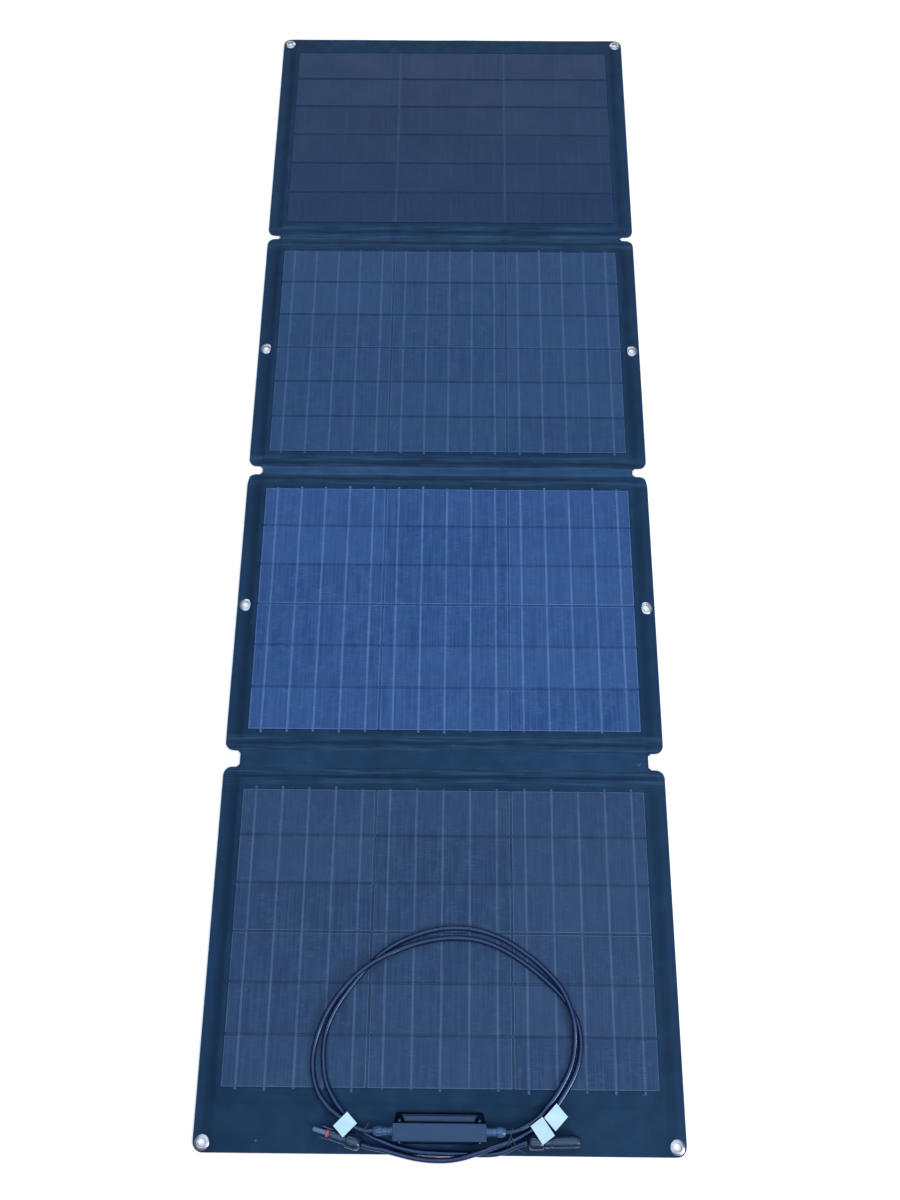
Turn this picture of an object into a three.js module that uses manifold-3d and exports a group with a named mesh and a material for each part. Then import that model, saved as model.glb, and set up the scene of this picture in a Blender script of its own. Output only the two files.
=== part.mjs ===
// A folding solar panel of four leaves, laid out flat: cloth-covered leaves with a stiff
// board and a sheet of solar cells in each, fabric folds between them, eyelets for hooks,
// and a junction box with two coiled leads on the near leaf.
//
// Millimetres. +X is across the panel, +Y runs from the junction box to the far end, and
// +Z is up, out of the cells. The origin is in the middle of the panel, on the ground.

import * as THREE from 'three';
import { mergeVertices } from 'three/addons/utils/BufferGeometryUtils.js';
import { ConvexGeometry } from 'three/addons/geometries/ConvexGeometry.js';
import Module from 'manifold-3d';

const wasm = await Module();
wasm.setup();

// ---------------------------------------------------------------- driving dimensions

// Solar cells: square wafers cut in thirds, three columns of six pieces on each leaf.
const WAFER = 156.75;
const CELL_LENGTH = WAFER / 3;
const CELL_GAP = 1.6;
const CELL_COLUMNS = 3;
const CELL_ROWS = 6;
const ARRAY_WIDTH = CELL_COLUMNS * WAFER + (CELL_COLUMNS - 1) * CELL_GAP;
const ARRAY_LENGTH = CELL_ROWS * CELL_LENGTH + (CELL_ROWS - 1) * CELL_GAP;

// Leaves, named from the far end. The margins are the cloth before and after the cells,
// and the fold is the strip between a leaf and the next one towards the far end. Each
// fold is wider than the last, because it goes round more folded leaves.
const LEAVES = [
  { number: 4, near: 64, far: 26.5, fold: 20 },
  { number: 3, near: 25.7, far: 21.6, fold: 12.4 },
  { number: 2, near: 21, far: 22.8, fold: 7 },
  { number: 1, near: 21.5, far: 29.5, fold: 0 },
];
const PANEL_WIDTH = 525;
const FOLD_HALF_WIDTH = 244;
const END_CORNER = 11;
const FOLD_CORNER = 10;

// Heights in a leaf, from the ground up.
const BACK_THICKNESS = 0.9;
const FLANGE_BOTTOM = 1;
const FLANGE_TOP = 1.9;
const BOARD_TOP = 3.4;
const SHEET_BOTTOM = 3.5;
const LEAF_TOP = 4.6;
const COVER_WALL = 1.2;
const COVER_MARGIN = 14;
const BOARD_CORNER = 12;
const FIT = 0.1;

// Folds: a strip of cloth with two flat wires in raised channels. Both of its hinge
// lines are at the top face of the leaves' flanges.
const STRIP_BOTTOM = 0.8;
const STRIP_CLEARANCE = 0.3;
const WIRE = { x: 79, width: 6.4, bottom: 1.35, top: 1.85 };
const CHANNEL = { width: 7, bottom: 1.2, top: 2 };
const CHANNEL_BUMP = { width: 9.4, top: 2.6 };

// Eyelets: eight, at the two ends and at the sides of the two middle leaves.
const EYELET = { bore: 4, barrel: 4.6, rim: 8, hole: 4.9, backHole: 8.3 };
const EYELET_TOP = 3.1;
const EYELET_SEGMENTS = 16;

// Junction box.
const BOX = { y: -755.7, halfLength: 49.5, halfDepth: 8.7, bottom: 2.1, split: 11.4, lid: 12, top: 18 };
const BOX_CAVITY = { halfLength: 42, halfDepth: 6.2, floor: 4, roof: 16.2 };
const SCREW = { x: 42.5, y: 10.2, head: 1.3, shank: 0.7, lug: 1.9, seat: 10.6, top: 12.1 };
const GLAND = { z: 10.3, neck: 4.3, nut: 5.2, start: 49.8, nutStart: 60.6, end: 70.5 };

// Leads, their connectors, and the blank tags and wire ties on them.
const LEAD_RADIUS = 2.85;
const LEAD_SIDES = 8;
const LEAD_STEPS = 68;
const TIE = { ring: LEAD_RADIUS + 0.85, wire: 0.4 };
const CONNECTOR_Z = 9.7;
const ON_FLANGE = 4.85;
const ON_LEAF = 7.6;
const OVER_LEAD = 13.4;

// ---------------------------------------------------------------- colours and finishes

function finish(colour, roughness, metalness = 0) {
  return { color: colour, roughness, metalness };
}
const FINISHES = {
  backCloth: finish(0x14202e, 0.9),
  cloth: finish(0x213d5f, 0.75),
  board: finish(0x2a2c2f, 0.6),
  cells: finish(0x344f76, 0.35),
  copper: finish(0xb87a4a, 0.35, 1),
  eyelet: finish(0xd8dadc, 0.3, 1),
  blackPlastic: finish(0x15181c, 0.4),
  rubber: finish(0x1a1c1f, 0.7),
  circuitBoard: finish(0x1d5a38, 0.5),
  steel: finish(0x9ea2a6, 0.35, 1),
  lead: finish(0x17191d, 0.45),
  redSeal: finish(0xc4453f, 0.5),
  tag: finish(0xf4f5f6, 0.6),
  tie: finish(0x8d9298, 0.5),
};

// ---------------------------------------------------------------- solids

const panel = new THREE.Group();

// A three.js geometry as a solid that can be joined and cut.
function solid(geometry) {
  const bare = geometry.clone();
  bare.deleteAttribute('normal');
  bare.deleteAttribute('uv');
  const merged = mergeVertices(bare);
  return new wasm.Manifold(new wasm.Mesh({
    numProp: 3,
    vertProperties: new Float32Array(merged.attributes.position.array),
    triVerts: new Uint32Array(merged.index.array),
  }));
}

// Adds a solid to the panel as a named part.
function part(name, body, look) {
  const mesh = body.getMesh();
  const geometry = new THREE.BufferGeometry();
  geometry.setAttribute('position', new THREE.BufferAttribute(mesh.vertProperties, 3));
  geometry.setIndex(new THREE.BufferAttribute(mesh.triVerts, 1));
  geometry.computeVertexNormals();
  const node = new THREE.Mesh(geometry, new THREE.MeshStandardMaterial(look));
  node.name = name;
  panel.add(node);
}

// A rectangle from yNear to yFar with its own corner radius at each end.
function roundedOutline(halfWidth, yNear, yFar, nearRadius, farRadius) {
  const outline = new THREE.Shape();
  outline.moveTo(-halfWidth + nearRadius, yNear);
  outline.lineTo(halfWidth - nearRadius, yNear);
  outline.absarc(halfWidth - nearRadius, yNear + nearRadius, nearRadius, -Math.PI / 2, 0);
  outline.absarc(halfWidth - farRadius, yFar - farRadius, farRadius, 0, Math.PI / 2);
  outline.absarc(-halfWidth + farRadius, yFar - farRadius, farRadius, Math.PI / 2, Math.PI);
  outline.absarc(-halfWidth + nearRadius, yNear + nearRadius, nearRadius, Math.PI, 1.5 * Math.PI);
  return outline;
}

// A flat plate of an outline, from one height to another.
function plate(outline, bottom, top, curveSegments = 4) {
  const depth = top - bottom;
  const geometry = new THREE.ExtrudeGeometry(outline, { depth, bevelEnabled: false, curveSegments });
  return solid(geometry.translate(0, 0, bottom));
}

// A box from its lowest and highest corner.
function block(low, high) {
  const size = high.map((value, i) => value - low[i]);
  const middle = high.map((value, i) => (value + low[i]) / 2);
  return solid(new THREE.BoxGeometry(...size).translate(...middle));
}

// A vertical round bar.
function post(x, y, radius, bottom, top, segments = 12) {
  const bar = new THREE.CylinderGeometry(radius, radius, top - bottom, segments);
  return solid(bar.rotateX(Math.PI / 2).translate(x, y, (top + bottom) / 2));
}

// The convex body round a list of corners.
function hull(corners) {
  return solid(new ConvexGeometry(corners.map((corner) => new THREE.Vector3(...corner))));
}

// A turned shape whose profile holds [radius, distance along the axis] pairs.
function turned(profile, segments) {
  const points = profile.map(([radius, along]) => new THREE.Vector2(radius, along));
  return new THREE.LatheGeometry(points, segments);
}

// Turns a shape made along +Y so that it starts at a point and runs along a direction.
function aim(geometry, start, direction) {
  const turn = new THREE.Quaternion();
  turn.setFromUnitVectors(new THREE.Vector3(0, 1, 0), direction.clone().normalize());
  return geometry.applyQuaternion(turn).translate(start.x, start.y, start.z);
}

// ---------------------------------------------------------------- where the leaves lie

const panelLength = LEAVES.reduce(
  (sum, leaf) => sum + leaf.near + ARRAY_LENGTH + leaf.far + leaf.fold, 0);
let edge = -panelLength / 2;
for (const leaf of LEAVES) {
  leaf.yNear = edge;
  leaf.arrayNear = edge + leaf.near;
  leaf.arrayFar = leaf.arrayNear + ARRAY_LENGTH;
  leaf.yFar = leaf.arrayFar + leaf.far;
  leaf.nearCorner = leaf.number === 4 ? END_CORNER : FOLD_CORNER;
  leaf.farCorner = leaf.number === 1 ? END_CORNER : FOLD_CORNER;
  edge = leaf.yFar + leaf.fold;
}
const [nearLeaf, thirdLeaf, secondLeaf, farLeaf] = LEAVES;
nearLeaf.eyelets = { x: 252.8, y: nearLeaf.yNear + 9.6 };
thirdLeaf.eyelets = { x: 252, y: -161.6 };
secondLeaf.eyelets = { x: 252, y: 215 };
farLeaf.eyelets = { x: 252.8, y: farLeaf.yFar - 9.4 };

// ---------------------------------------------------------------- leaves

function holesForEyelets(leaf, radius) {
  const { x, y } = leaf.eyelets;
  return [-x, x].map((side) => post(side, y, radius, -1, LEAF_TOP, EYELET_SEGMENTS));
}

function cutAll(body, cutters) {
  return cutters.reduce((left, cutter) => left.subtract(cutter), body);
}

function leafOutline(leaf) {
  return roundedOutline(PANEL_WIDTH / 2, leaf.yNear, leaf.yFar, leaf.nearCorner, leaf.farCorner);
}

// The raised part of the cover over the board, made larger or smaller all round.
function coverOutline(leaf, inset) {
  const near = leaf.arrayNear - COVER_MARGIN + inset;
  const far = leaf.arrayFar + COVER_MARGIN - inset;
  const corner = BOARD_CORNER - inset;
  return roundedOutline(FOLD_HALF_WIDTH - inset, near, far, corner, corner);
}

function cellSheet(leaf, grow, bottom, top) {
  const half = ARRAY_WIDTH / 2 + grow;
  return block([-half, leaf.arrayNear - grow, bottom], [half, leaf.arrayFar + grow, top]);
}

// The front cover is a flange round the leaf and a shallow pan turned over the board,
// with a window that the cell sheet fills.
function frontCover(leaf) {
  const flange = plate(leafOutline(leaf), FLANGE_BOTTOM, FLANGE_TOP);
  const raised = plate(coverOutline(leaf, 0), FLANGE_BOTTOM, LEAF_TOP);
  const roomForBoard = plate(coverOutline(leaf, COVER_WALL - FIT), 0, BOARD_TOP + FIT);
  const openings = [roomForBoard, cellSheet(leaf, 3 * FIT, SHEET_BOTTOM - FIT, LEAF_TOP + 1)];
  return cutAll(flange.add(raised), [...openings, ...holesForEyelets(leaf, EYELET.hole)]);
}

function eyelet(x, y) {
  const { bore, barrel, rim } = EYELET;
  const profile = [
    [bore, 0], [rim, 0], [rim, 0.85], [barrel, 0.85], [barrel, 2.05],
    [rim, 2.05], [rim - 0.5, EYELET_TOP - 0.3], [rim - 1.8, EYELET_TOP], [bore, EYELET_TOP], [bore, 0],
  ];
  const ring = turned(profile, EYELET_SEGMENTS).rotateX(Math.PI / 2).translate(x, y, 0);
  return solid(ring);
}

for (const leaf of LEAVES) {
  const id = leaf.number;
  const back = plate(leafOutline(leaf), 0, BACK_THICKNESS);
  part(`back_fabric_${id}`, cutAll(back, holesForEyelets(leaf, EYELET.backHole)), FINISHES.backCloth);
  part(`board_${id}`, plate(coverOutline(leaf, COVER_WALL), FLANGE_BOTTOM, BOARD_TOP), FINISHES.board);
  part(`cell_sheet_${id}`, cellSheet(leaf, 0, SHEET_BOTTOM, LEAF_TOP - FIT), FINISHES.cells);
  part(`front_cover_${id}`, frontCover(leaf), FINISHES.cloth);
  part(`eyelet_${id}_left`, eyelet(-leaf.eyelets.x, leaf.eyelets.y), FINISHES.eyelet);
  part(`eyelet_${id}_right`, eyelet(leaf.eyelets.x, leaf.eyelets.y), FINISHES.eyelet);
}

// ---------------------------------------------------------------- folds

function barAcrossFold(x, width, near, far, bottom, top) {
  return block([x - width / 2, near, bottom], [x + width / 2, far, top]);
}

for (const leaf of LEAVES.filter((each) => each.fold > 0)) {
  const near = leaf.yFar + STRIP_CLEARANCE;
  const far = leaf.yFar + leaf.fold - STRIP_CLEARANCE;
  const id = leaf.number - 1;
  let strip = block([-FOLD_HALF_WIDTH, near, STRIP_BOTTOM], [FOLD_HALF_WIDTH, far, FLANGE_TOP]);
  for (const x of [-WIRE.x, WIRE.x]) {
    const bump = barAcrossFold(x, CHANNEL_BUMP.width, near, far, STRIP_BOTTOM, CHANNEL_BUMP.top);
    const channel = barAcrossFold(x, CHANNEL.width, near - 1, far + 1, CHANNEL.bottom, CHANNEL.top);
    strip = strip.add(bump).subtract(channel);
    const side = x < 0 ? 'left' : 'right';
    const wire = barAcrossFold(x, WIRE.width, near + 0.2, far - 0.2, WIRE.bottom, WIRE.top);
    part(`fold_wire_${id}_${side}`, wire, FINISHES.copper);
  }
  part(`fold_fabric_${id}`, strip, FINISHES.cloth);
}

// ---------------------------------------------------------------- junction box

// A block centred on the box, by its half length and half depth.
function boxBlock(halfLength, halfDepth, bottom, top) {
  return block([-halfLength, BOX.y - halfDepth, bottom], [halfLength, BOX.y + halfDepth, top]);
}

// A shoulder of the base: a foot that tapers up to a narrower flat.
// foot and flat are [half width at the box, half width outside], reach is how far out.
function shoulder(side, foot, flat, reach, height) {
  const wall = BOX.y + side * (BOX.halfDepth - 0.5);
  const outside = BOX.y + side * (BOX.halfDepth + reach);
  const top = BOX.bottom + height;
  const corners = [];
  for (const x of [-1, 1]) {
    corners.push([x * foot[0], wall, BOX.bottom], [x * foot[1], outside, BOX.bottom]);
    corners.push([x * flat[0], wall, top], [x * flat[1], outside - side * 1.5, top]);
  }
  return hull(corners);
}

const screwPlaces = [[-1, -1], [1, -1], [-1, 1], [1, 1]].map(([sx, sy]) => (
  { x: sx * SCREW.x, y: BOX.y + sy * SCREW.y }));
const screwLugs = screwPlaces.map(({ x, y }) => post(x, y, SCREW.lug, BOX.bottom, SCREW.seat));
const screwBores = screwPlaces.map(({ x, y }) => post(x, y, SCREW.shank + 0.25, 6.5, BOX.top));

const shell = boxBlock(BOX.halfLength, BOX.halfDepth, BOX.bottom, BOX.split)
  .add(shoulder(1, [49.5, 47], [36, 39.5], 9.4, 7))
  .add(shoulder(-1, [46, 38], [36, 33], 4.6, 4.4))
  .subtract(boxBlock(BOX_CAVITY.halfLength, BOX_CAVITY.halfDepth, BOX_CAVITY.floor, BOX.split + 1));
const base = screwLugs.reduce((whole, lug) => whole.add(lug), shell);
part('box_base', cutAll(base, screwBores), FINISHES.blackPlastic);

const lidEdge = 0.8;
const lidCorners = [];
for (const x of [-1, 1]) {
  for (const y of [-1, 1]) {
    const lower = [x * BOX.halfLength, BOX.y + y * BOX.halfDepth];
    lidCorners.push([...lower, BOX.lid], [...lower, BOX.top - lidEdge]);
    const upper = [x * (BOX.halfLength - lidEdge), BOX.y + y * (BOX.halfDepth - lidEdge)];
    lidCorners.push([...upper, BOX.top]);
  }
}
const lid = hull(lidCorners)
  .subtract(boxBlock(BOX_CAVITY.halfLength, BOX_CAVITY.halfDepth, BOX.lid - 1, BOX_CAVITY.roof));
part('box_lid', lid, FINISHES.blackPlastic);

const gasket = boxBlock(BOX_CAVITY.halfLength + 1, 8, BOX.split + 0.15, BOX.lid - 0.15)
  .subtract(boxBlock(BOX_CAVITY.halfLength - 1, BOX_CAVITY.halfDepth, 0, BOX.top));
part('box_gasket', gasket, FINISHES.rubber);

const diodeCan = boxBlock(6, 3, 6, 9);
const diodeBoard = boxBlock(39, 5.2, BOX_CAVITY.floor + 0.4, 6)
  .add(diodeCan.translate([-20, 0, 0]))
  .add(diodeCan.translate([20, 0, 0]));
part('diode_board', diodeBoard, FINISHES.circuitBoard);

screwPlaces.forEach(({ x, y }, i) => {
  const shank = post(x, y, SCREW.shank, 7, SCREW.seat + 0.4);
  const head = post(x, y, SCREW.head, SCREW.seat + FIT, SCREW.top);
  part(`lid_screw_${i + 1}`, shank.add(head), FINISHES.steel);
});

// Glands: a neck with a collar against the box, and a nut with a rounded mouth.
for (const [side, direction] of [['left', -1], ['right', 1]]) {
  const axis = new THREE.Vector3(direction, 0, 0);
  const neckLength = GLAND.nutStart - GLAND.start - FIT;
  const neck = [
    [0, 0], [GLAND.nut, 0], [GLAND.nut, 1.6], [GLAND.neck, 1.6], [GLAND.neck, neckLength], [0, neckLength],
  ];
  const neckStart = new THREE.Vector3(direction * GLAND.start, BOX.y, GLAND.z);
  part(`gland_body_${side}`, solid(aim(turned(neck, 12), neckStart, axis)), FINISHES.blackPlastic);
  const nutLength = GLAND.end - GLAND.nutStart;
  const nut = [[0, 0], [GLAND.nut, 0], [GLAND.nut, nutLength - 2], [3.6, nutLength], [0, nutLength]];
  const nutStart = new THREE.Vector3(direction * GLAND.nutStart, BOX.y, GLAND.z);
  part(`gland_nut_${side}`, solid(aim(turned(nut, 12), nutStart, axis)), FINISHES.blackPlastic);
}

// ---------------------------------------------------------------- leads

// The right lead leaves the right gland, goes once round the loop against the clock, and
// ends in the socket connector. The left lead goes round the other way to the plug.
const RIGHT_LEAD = [
  [70.9, -755.7, 10.3], [77, -755.2, 10.3], [86, -752.6, 9.8], [97.6, -746.6, 8.2],
  [108.2, -738.6, 7.6], [116.3, -729.4, ON_LEAF], [124.5, -720, ON_LEAF], [132, -709, ON_LEAF],
  [138.5, -697.6, ON_LEAF], [143.6, -684.2, 7.8], [146.2, -668.9, 9], [146.4, -655.4, 11.4],
  [144.9, -641.8, 13.4], [140.6, -628.1, OVER_LEAD], [133.7, -613.8, 12.6], [123.4, -600.5, 9.8],
  [110.9, -588.5, 8], [98.3, -578.6, ON_LEAF], [68.5, -560.5, ON_LEAF], [34.1, -550.4, ON_LEAF],
  [0, -550.2, ON_LEAF], [-32, -558.4, ON_LEAF], [-58, -570.8, ON_LEAF], [-83, -592, ON_LEAF],
  [-102.4, -615.4, ON_LEAF], [-115, -634, ON_LEAF], [-124.8, -657, ON_LEAF], [-126.9, -682, ON_LEAF],
  [-122.6, -709, ON_LEAF], [-111.7, -728, 7.8], [-107.2, -733.4, 7.6], [-99, -742.6, 5.8], [-88.3, -752.5, ON_FLANGE],
  [-73.6, -761.2, ON_FLANGE], [-46.5, -770.8, ON_FLANGE], [-24, -775.4, ON_FLANGE],
  [0, -776.8, ON_FLANGE], [30, -777.2, ON_FLANGE], [50, -777.4, ON_FLANGE], [62, -776.3, 5],
  [72, -773.2, 5.8], [80, -769.5, 7.4], [87, -766.8, 9], [92.8, -765.6, 9.6],
];
const LEFT_LEAD = [
  [-70.9, -755.7, 10.3], [-79, -755.4, 11.3], [-87.5, -753, 11.7], [-97.3, -747.9, 11.5],
  [-108, -741.6, 10.2], [-118.6, -733.8, 8.2], [-128.6, -722.6, ON_LEAF], [-135.4, -707.9, ON_LEAF],
  [-138.2, -691, ON_LEAF], [-137.4, -675, ON_LEAF], [-132.9, -657.2, 8.6], [-124, -637.2, 11.4],
  [-111.8, -619.2, 13], [-97, -602.8, OVER_LEAD], [-80, -589.4, OVER_LEAD], [-60, -578.6, 12],
  [-38.7, -570, 8.8], [-21.6, -564.8, ON_LEAF], [8, -560.2, ON_LEAF], [40, -562, ON_LEAF],
  [68.5, -571.7, ON_LEAF], [98.1, -589.7, ON_LEAF], [118, -605.4, ON_LEAF], [133.2, -619.8, ON_LEAF],
  [144.2, -634.8, ON_LEAF], [151, -650, ON_LEAF], [153, -667, ON_LEAF], [150.8, -684.2, ON_LEAF],
  [145, -700, ON_LEAF], [137.6, -712.6, ON_LEAF], [127.2, -727.4, 7.7], [121.6, -735, 7.4], [112.6, -743.9, 6],
  [98.4, -753.8, 5.4], [82, -761.8, 6.6], [66, -767.3, 9.2], [50, -772.2, 11], [38, -776.2, 11.1],
  [24, -780.3, 10.4], [10, -782.8, 7.8], [-6, -783.5, 5.4], [-24, -782, ON_FLANGE],
  [-46.4, -777.4, ON_FLANGE], [-62, -773.6, 5.8], [-74, -771.4, 8.6], [-82.2, -769.1, 9.6],
];

function lead(route) {
  const curve = new THREE.CatmullRomCurve3(route.map((point) => new THREE.Vector3(...point)), false, 'centripetal');
  const section = new THREE.Shape();
  for (let i = 0; i < LEAD_SIDES; i += 1) {
    const angle = (i / LEAD_SIDES) * 2 * Math.PI;
    const corner = [LEAD_RADIUS * Math.cos(angle), LEAD_RADIUS * Math.sin(angle)];
    if (i === 0) section.moveTo(...corner);
    else section.lineTo(...corner);
  }
  section.closePath();
  const options = { steps: LEAD_STEPS, extrudePath: curve, bevelEnabled: false };
  return solid(new THREE.ExtrudeGeometry(section, options));
}

part('lead_right', lead(RIGHT_LEAD), FINISHES.lead);
part('lead_left', lead(LEFT_LEAD), FINISHES.lead);

// ---------------------------------------------------------------- connectors

// Profiles run from the lead's end to the tip, and both connectors lie on the leaf.
const NUT_PROFILE = [[0, 0], [4.6, 0], [6.6, 1.6], [7.5, 5], [7.5, 15.6], [6.9, 16.4], [0, 16.4]];
const BODY_START = 16.8;

function connectorPlace(leadEnd, tip) {
  const start = new THREE.Vector3(...leadEnd, CONNECTOR_Z);
  const direction = new THREE.Vector3(...tip, CONNECTOR_Z).sub(start).normalize();
  return (geometry) => solid(aim(geometry, start, direction));
}

// A flat arm beside the connector's axis, on the side given by its sign.
function sideArm(side, inner, outer, from, to, halfHeight) {
  const arm = new THREE.BoxGeometry(outer - inner, to - from, 2 * halfHeight);
  return arm.translate(side * (inner + outer) / 2, (from + to) / 2, 0);
}

const placePlug = connectorPlace([-83, -768.9], [-134.3, -753.9]);
const plugProfile = [
  [0, BODY_START], [6, BODY_START], [6, 31], [5.2, 34.6], [2.6, 34.6], [2.6, 52.4], [1.9, 53.4], [0, 53.4],
];
let plug = placePlug(turned(plugProfile, 12));
for (const side of [-1, 1]) plug = plug.add(placePlug(sideArm(side, 4.6, 5.8, 30, 44.5, 1.8)));
part('plug_body', plug, FINISHES.blackPlastic);
part('plug_nut', placePlug(turned(NUT_PROFILE, 12)), FINISHES.blackPlastic);
const sealProfile = [[2.75, 34.9], [4.1, 34.9], [4.1, 38.6], [2.75, 38.6], [2.75, 34.9]];
part('plug_seal', placePlug(turned(sealProfile, 12)), FINISHES.redSeal);

const placeSocket = connectorPlace([93.6, -765.5], [147.9, -764]);
const socketProfile = [
  [0, BODY_START], [5.4, BODY_START], [6, 20], [6, 50.6], [5.4, 54.3], [3.2, 54.3], [3.2, 39], [0, 39],
];
let socket = placeSocket(turned(socketProfile, 12));
for (const side of [-1, 1]) socket = socket.subtract(placeSocket(sideArm(side, 4.7, 8, 30, 46, 1.9)));
part('socket_body', socket, FINISHES.blackPlastic);
part('socket_nut', placeSocket(turned(NUT_PROFILE, 12)), FINISHES.blackPlastic);

// ---------------------------------------------------------------- tags and ties

// A thin tag between four corners of its lower face.
function tag(corners) {
  const thickness = 0.5;
  return hull(corners.flatMap(([x, y, z]) => [[x, y, z], [x, y, z + thickness]]));
}

part('tag_left', tag([
  [-98.1, -737.1, 13.9], [-87.3, -748, 14.6], [-101.5, -761.4, 16.2], [-112.3, -750.5, 15.5],
]), FINISHES.tag);
part('tag_right_1', tag([
  [109.1, -740.2, 12.1], [121.4, -757.3, 17.2], [108.5, -766.1, 18.7], [96.2, -749, 13.6],
]), FINISHES.tag);
part('tag_right_2', tag([
  [124.4, -727.2, 11.2], [136, -739.9, 13.5], [122.4, -753.4, 15.6], [110.8, -740.7, 13.3],
]), FINISHES.tag);

// A wire tie round one lead, square to it.
function tie(centre, direction) {
  const ring = [];
  const sides = 6;
  for (let i = 0; i <= sides; i += 1) {
    const angle = (i / sides) * 2 * Math.PI;
    ring.push([TIE.ring + TIE.wire * Math.cos(angle), TIE.wire * Math.sin(angle)]);
  }
  return solid(aim(turned(ring, 12), new THREE.Vector3(...centre), new THREE.Vector3(...direction)));
}

part('tie_left', tie([-79, -755.4, 11.3], [-16.6, 2.7, 1.2]), FINISHES.tie);
part('tie_right', tie([74, -764.6, 7.9], [-16, -5.5, 2.6]), FINISHES.tie);

export default panel;
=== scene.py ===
# %% [markdown]
# # A folding solar panel, laid out flat
# This panel is for camps and expeditions. Four cloth leaves hold a stiff board and a sheet
# of solar cells each, and cloth folds join them. Metal eyelets take hooks and cords. A
# junction box sits on the near leaf, with two leads that lie round in one loose coil.
#
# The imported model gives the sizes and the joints. Everything here is added around it, in
# metres, in the same frame: +X across the panel, +Y away from the junction box, +Z up.

import math
import random

import bmesh
import bpy
from mathutils import Matrix, Vector, noise


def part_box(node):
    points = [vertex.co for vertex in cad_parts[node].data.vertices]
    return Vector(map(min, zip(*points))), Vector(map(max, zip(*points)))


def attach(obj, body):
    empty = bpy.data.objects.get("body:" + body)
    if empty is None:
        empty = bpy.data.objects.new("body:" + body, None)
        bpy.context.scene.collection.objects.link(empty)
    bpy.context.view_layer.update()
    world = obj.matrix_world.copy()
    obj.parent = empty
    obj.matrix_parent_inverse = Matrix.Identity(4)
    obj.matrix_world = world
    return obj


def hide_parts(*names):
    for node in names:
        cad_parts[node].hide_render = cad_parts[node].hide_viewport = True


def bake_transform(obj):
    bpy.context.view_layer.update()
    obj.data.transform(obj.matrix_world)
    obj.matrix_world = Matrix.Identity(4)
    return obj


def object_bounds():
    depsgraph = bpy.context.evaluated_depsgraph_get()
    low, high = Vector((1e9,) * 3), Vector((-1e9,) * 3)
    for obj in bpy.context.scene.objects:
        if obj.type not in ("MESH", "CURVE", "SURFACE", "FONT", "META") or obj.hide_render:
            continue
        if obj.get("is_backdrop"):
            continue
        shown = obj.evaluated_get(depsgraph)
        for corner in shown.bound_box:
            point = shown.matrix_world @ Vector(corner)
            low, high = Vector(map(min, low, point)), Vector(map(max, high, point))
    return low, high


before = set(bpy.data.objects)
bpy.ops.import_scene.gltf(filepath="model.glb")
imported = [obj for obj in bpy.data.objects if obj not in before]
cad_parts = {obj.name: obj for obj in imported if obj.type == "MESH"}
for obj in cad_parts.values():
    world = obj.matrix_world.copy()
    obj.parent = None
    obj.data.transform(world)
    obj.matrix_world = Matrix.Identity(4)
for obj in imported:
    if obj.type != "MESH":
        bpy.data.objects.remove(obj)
model_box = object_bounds()
mm = 0.001
print("model box:", [tuple(round(v, 4) for v in corner) for corner in model_box])

# %% [markdown]
# ## Where the leaves, cells and folds are
# The leaves differ a little in length, because each fold goes round one more leaf than the
# next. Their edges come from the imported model, so that cloth, cells and folds meet where the
# joints are. The rounded corners, the raised part over the board, the wafer's size and the
# place of the flat wires are named here once.

# %% Leaf and fold places
fold_corner, end_corner = 10 * mm, 11 * mm


class Leaf:
    """One leaf's body, edges, corners and eyelet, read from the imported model."""

    def __init__(self, number):
        low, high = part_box(f"back_fabric_{number}")
        cells_low, cells_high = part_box(f"cell_sheet_{number}")
        self.number = number
        self.body = f"leaf_{number}"
        self.near, self.far = low.y, high.y
        self.cells_near, self.cells_far = cells_low.y, cells_high.y
        self.near_corner = end_corner if number == 4 else fold_corner
        self.far_corner = end_corner if number == 1 else fold_corner
        eyelet_low, eyelet_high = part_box(f"eyelet_{number}_right")
        self.eyelet = (eyelet_low + eyelet_high) / 2


leaves = {number: Leaf(number) for number in (1, 2, 3, 4)}
half_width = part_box("back_fabric_1")[1].x
cells_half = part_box("cell_sheet_1")[1].x
fold_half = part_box("fold_fabric_1")[1].x
flange_top = 1.9 * mm
raised_top = 4.55 * mm
raised_margin = 14 * mm
raised_half = cells_half + 7.3 * mm
raised_corner = 12 * mm
wafer = 156.75 * mm
cell_gap = 1.6 * mm
cell_length = wafer / 3
cell_step = cell_length + cell_gap
column_step = wafer + cell_gap
wire_x = 79 * mm
panel_near, panel_far = leaves[4].near, leaves[1].far
fold_lines = [leaves[n].far for n in (4, 3, 2)] + [leaves[n].near for n in (3, 2, 1)]
for leaf in leaves.values():
    print(leaf.body, "from", round(leaf.near, 4), "to", round(leaf.far, 4))

# %% [markdown]
# ## Small tools
# Operators act on what is selected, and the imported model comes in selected, so every piece
# starts with nothing selected. A finished piece has its place in its mesh and its object at
# the origin. These helpers are what a hand does between two menus.

# %% Helpers for selecting and finishing
def select_only(obj):
    if bpy.context.object and bpy.context.object.mode != "OBJECT":
        bpy.ops.object.mode_set(mode="OBJECT")
    bpy.ops.object.select_all(action="DESELECT")
    bpy.context.view_layer.objects.active = obj
    obj.select_set(True)


def start(name, add, **settings):
    """Adds a primitive with everything else deselected, and names it."""
    bpy.ops.object.select_all(action="DESELECT")
    add(**settings)
    obj = bpy.context.object
    obj.name = obj.data.name = name
    return obj


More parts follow.
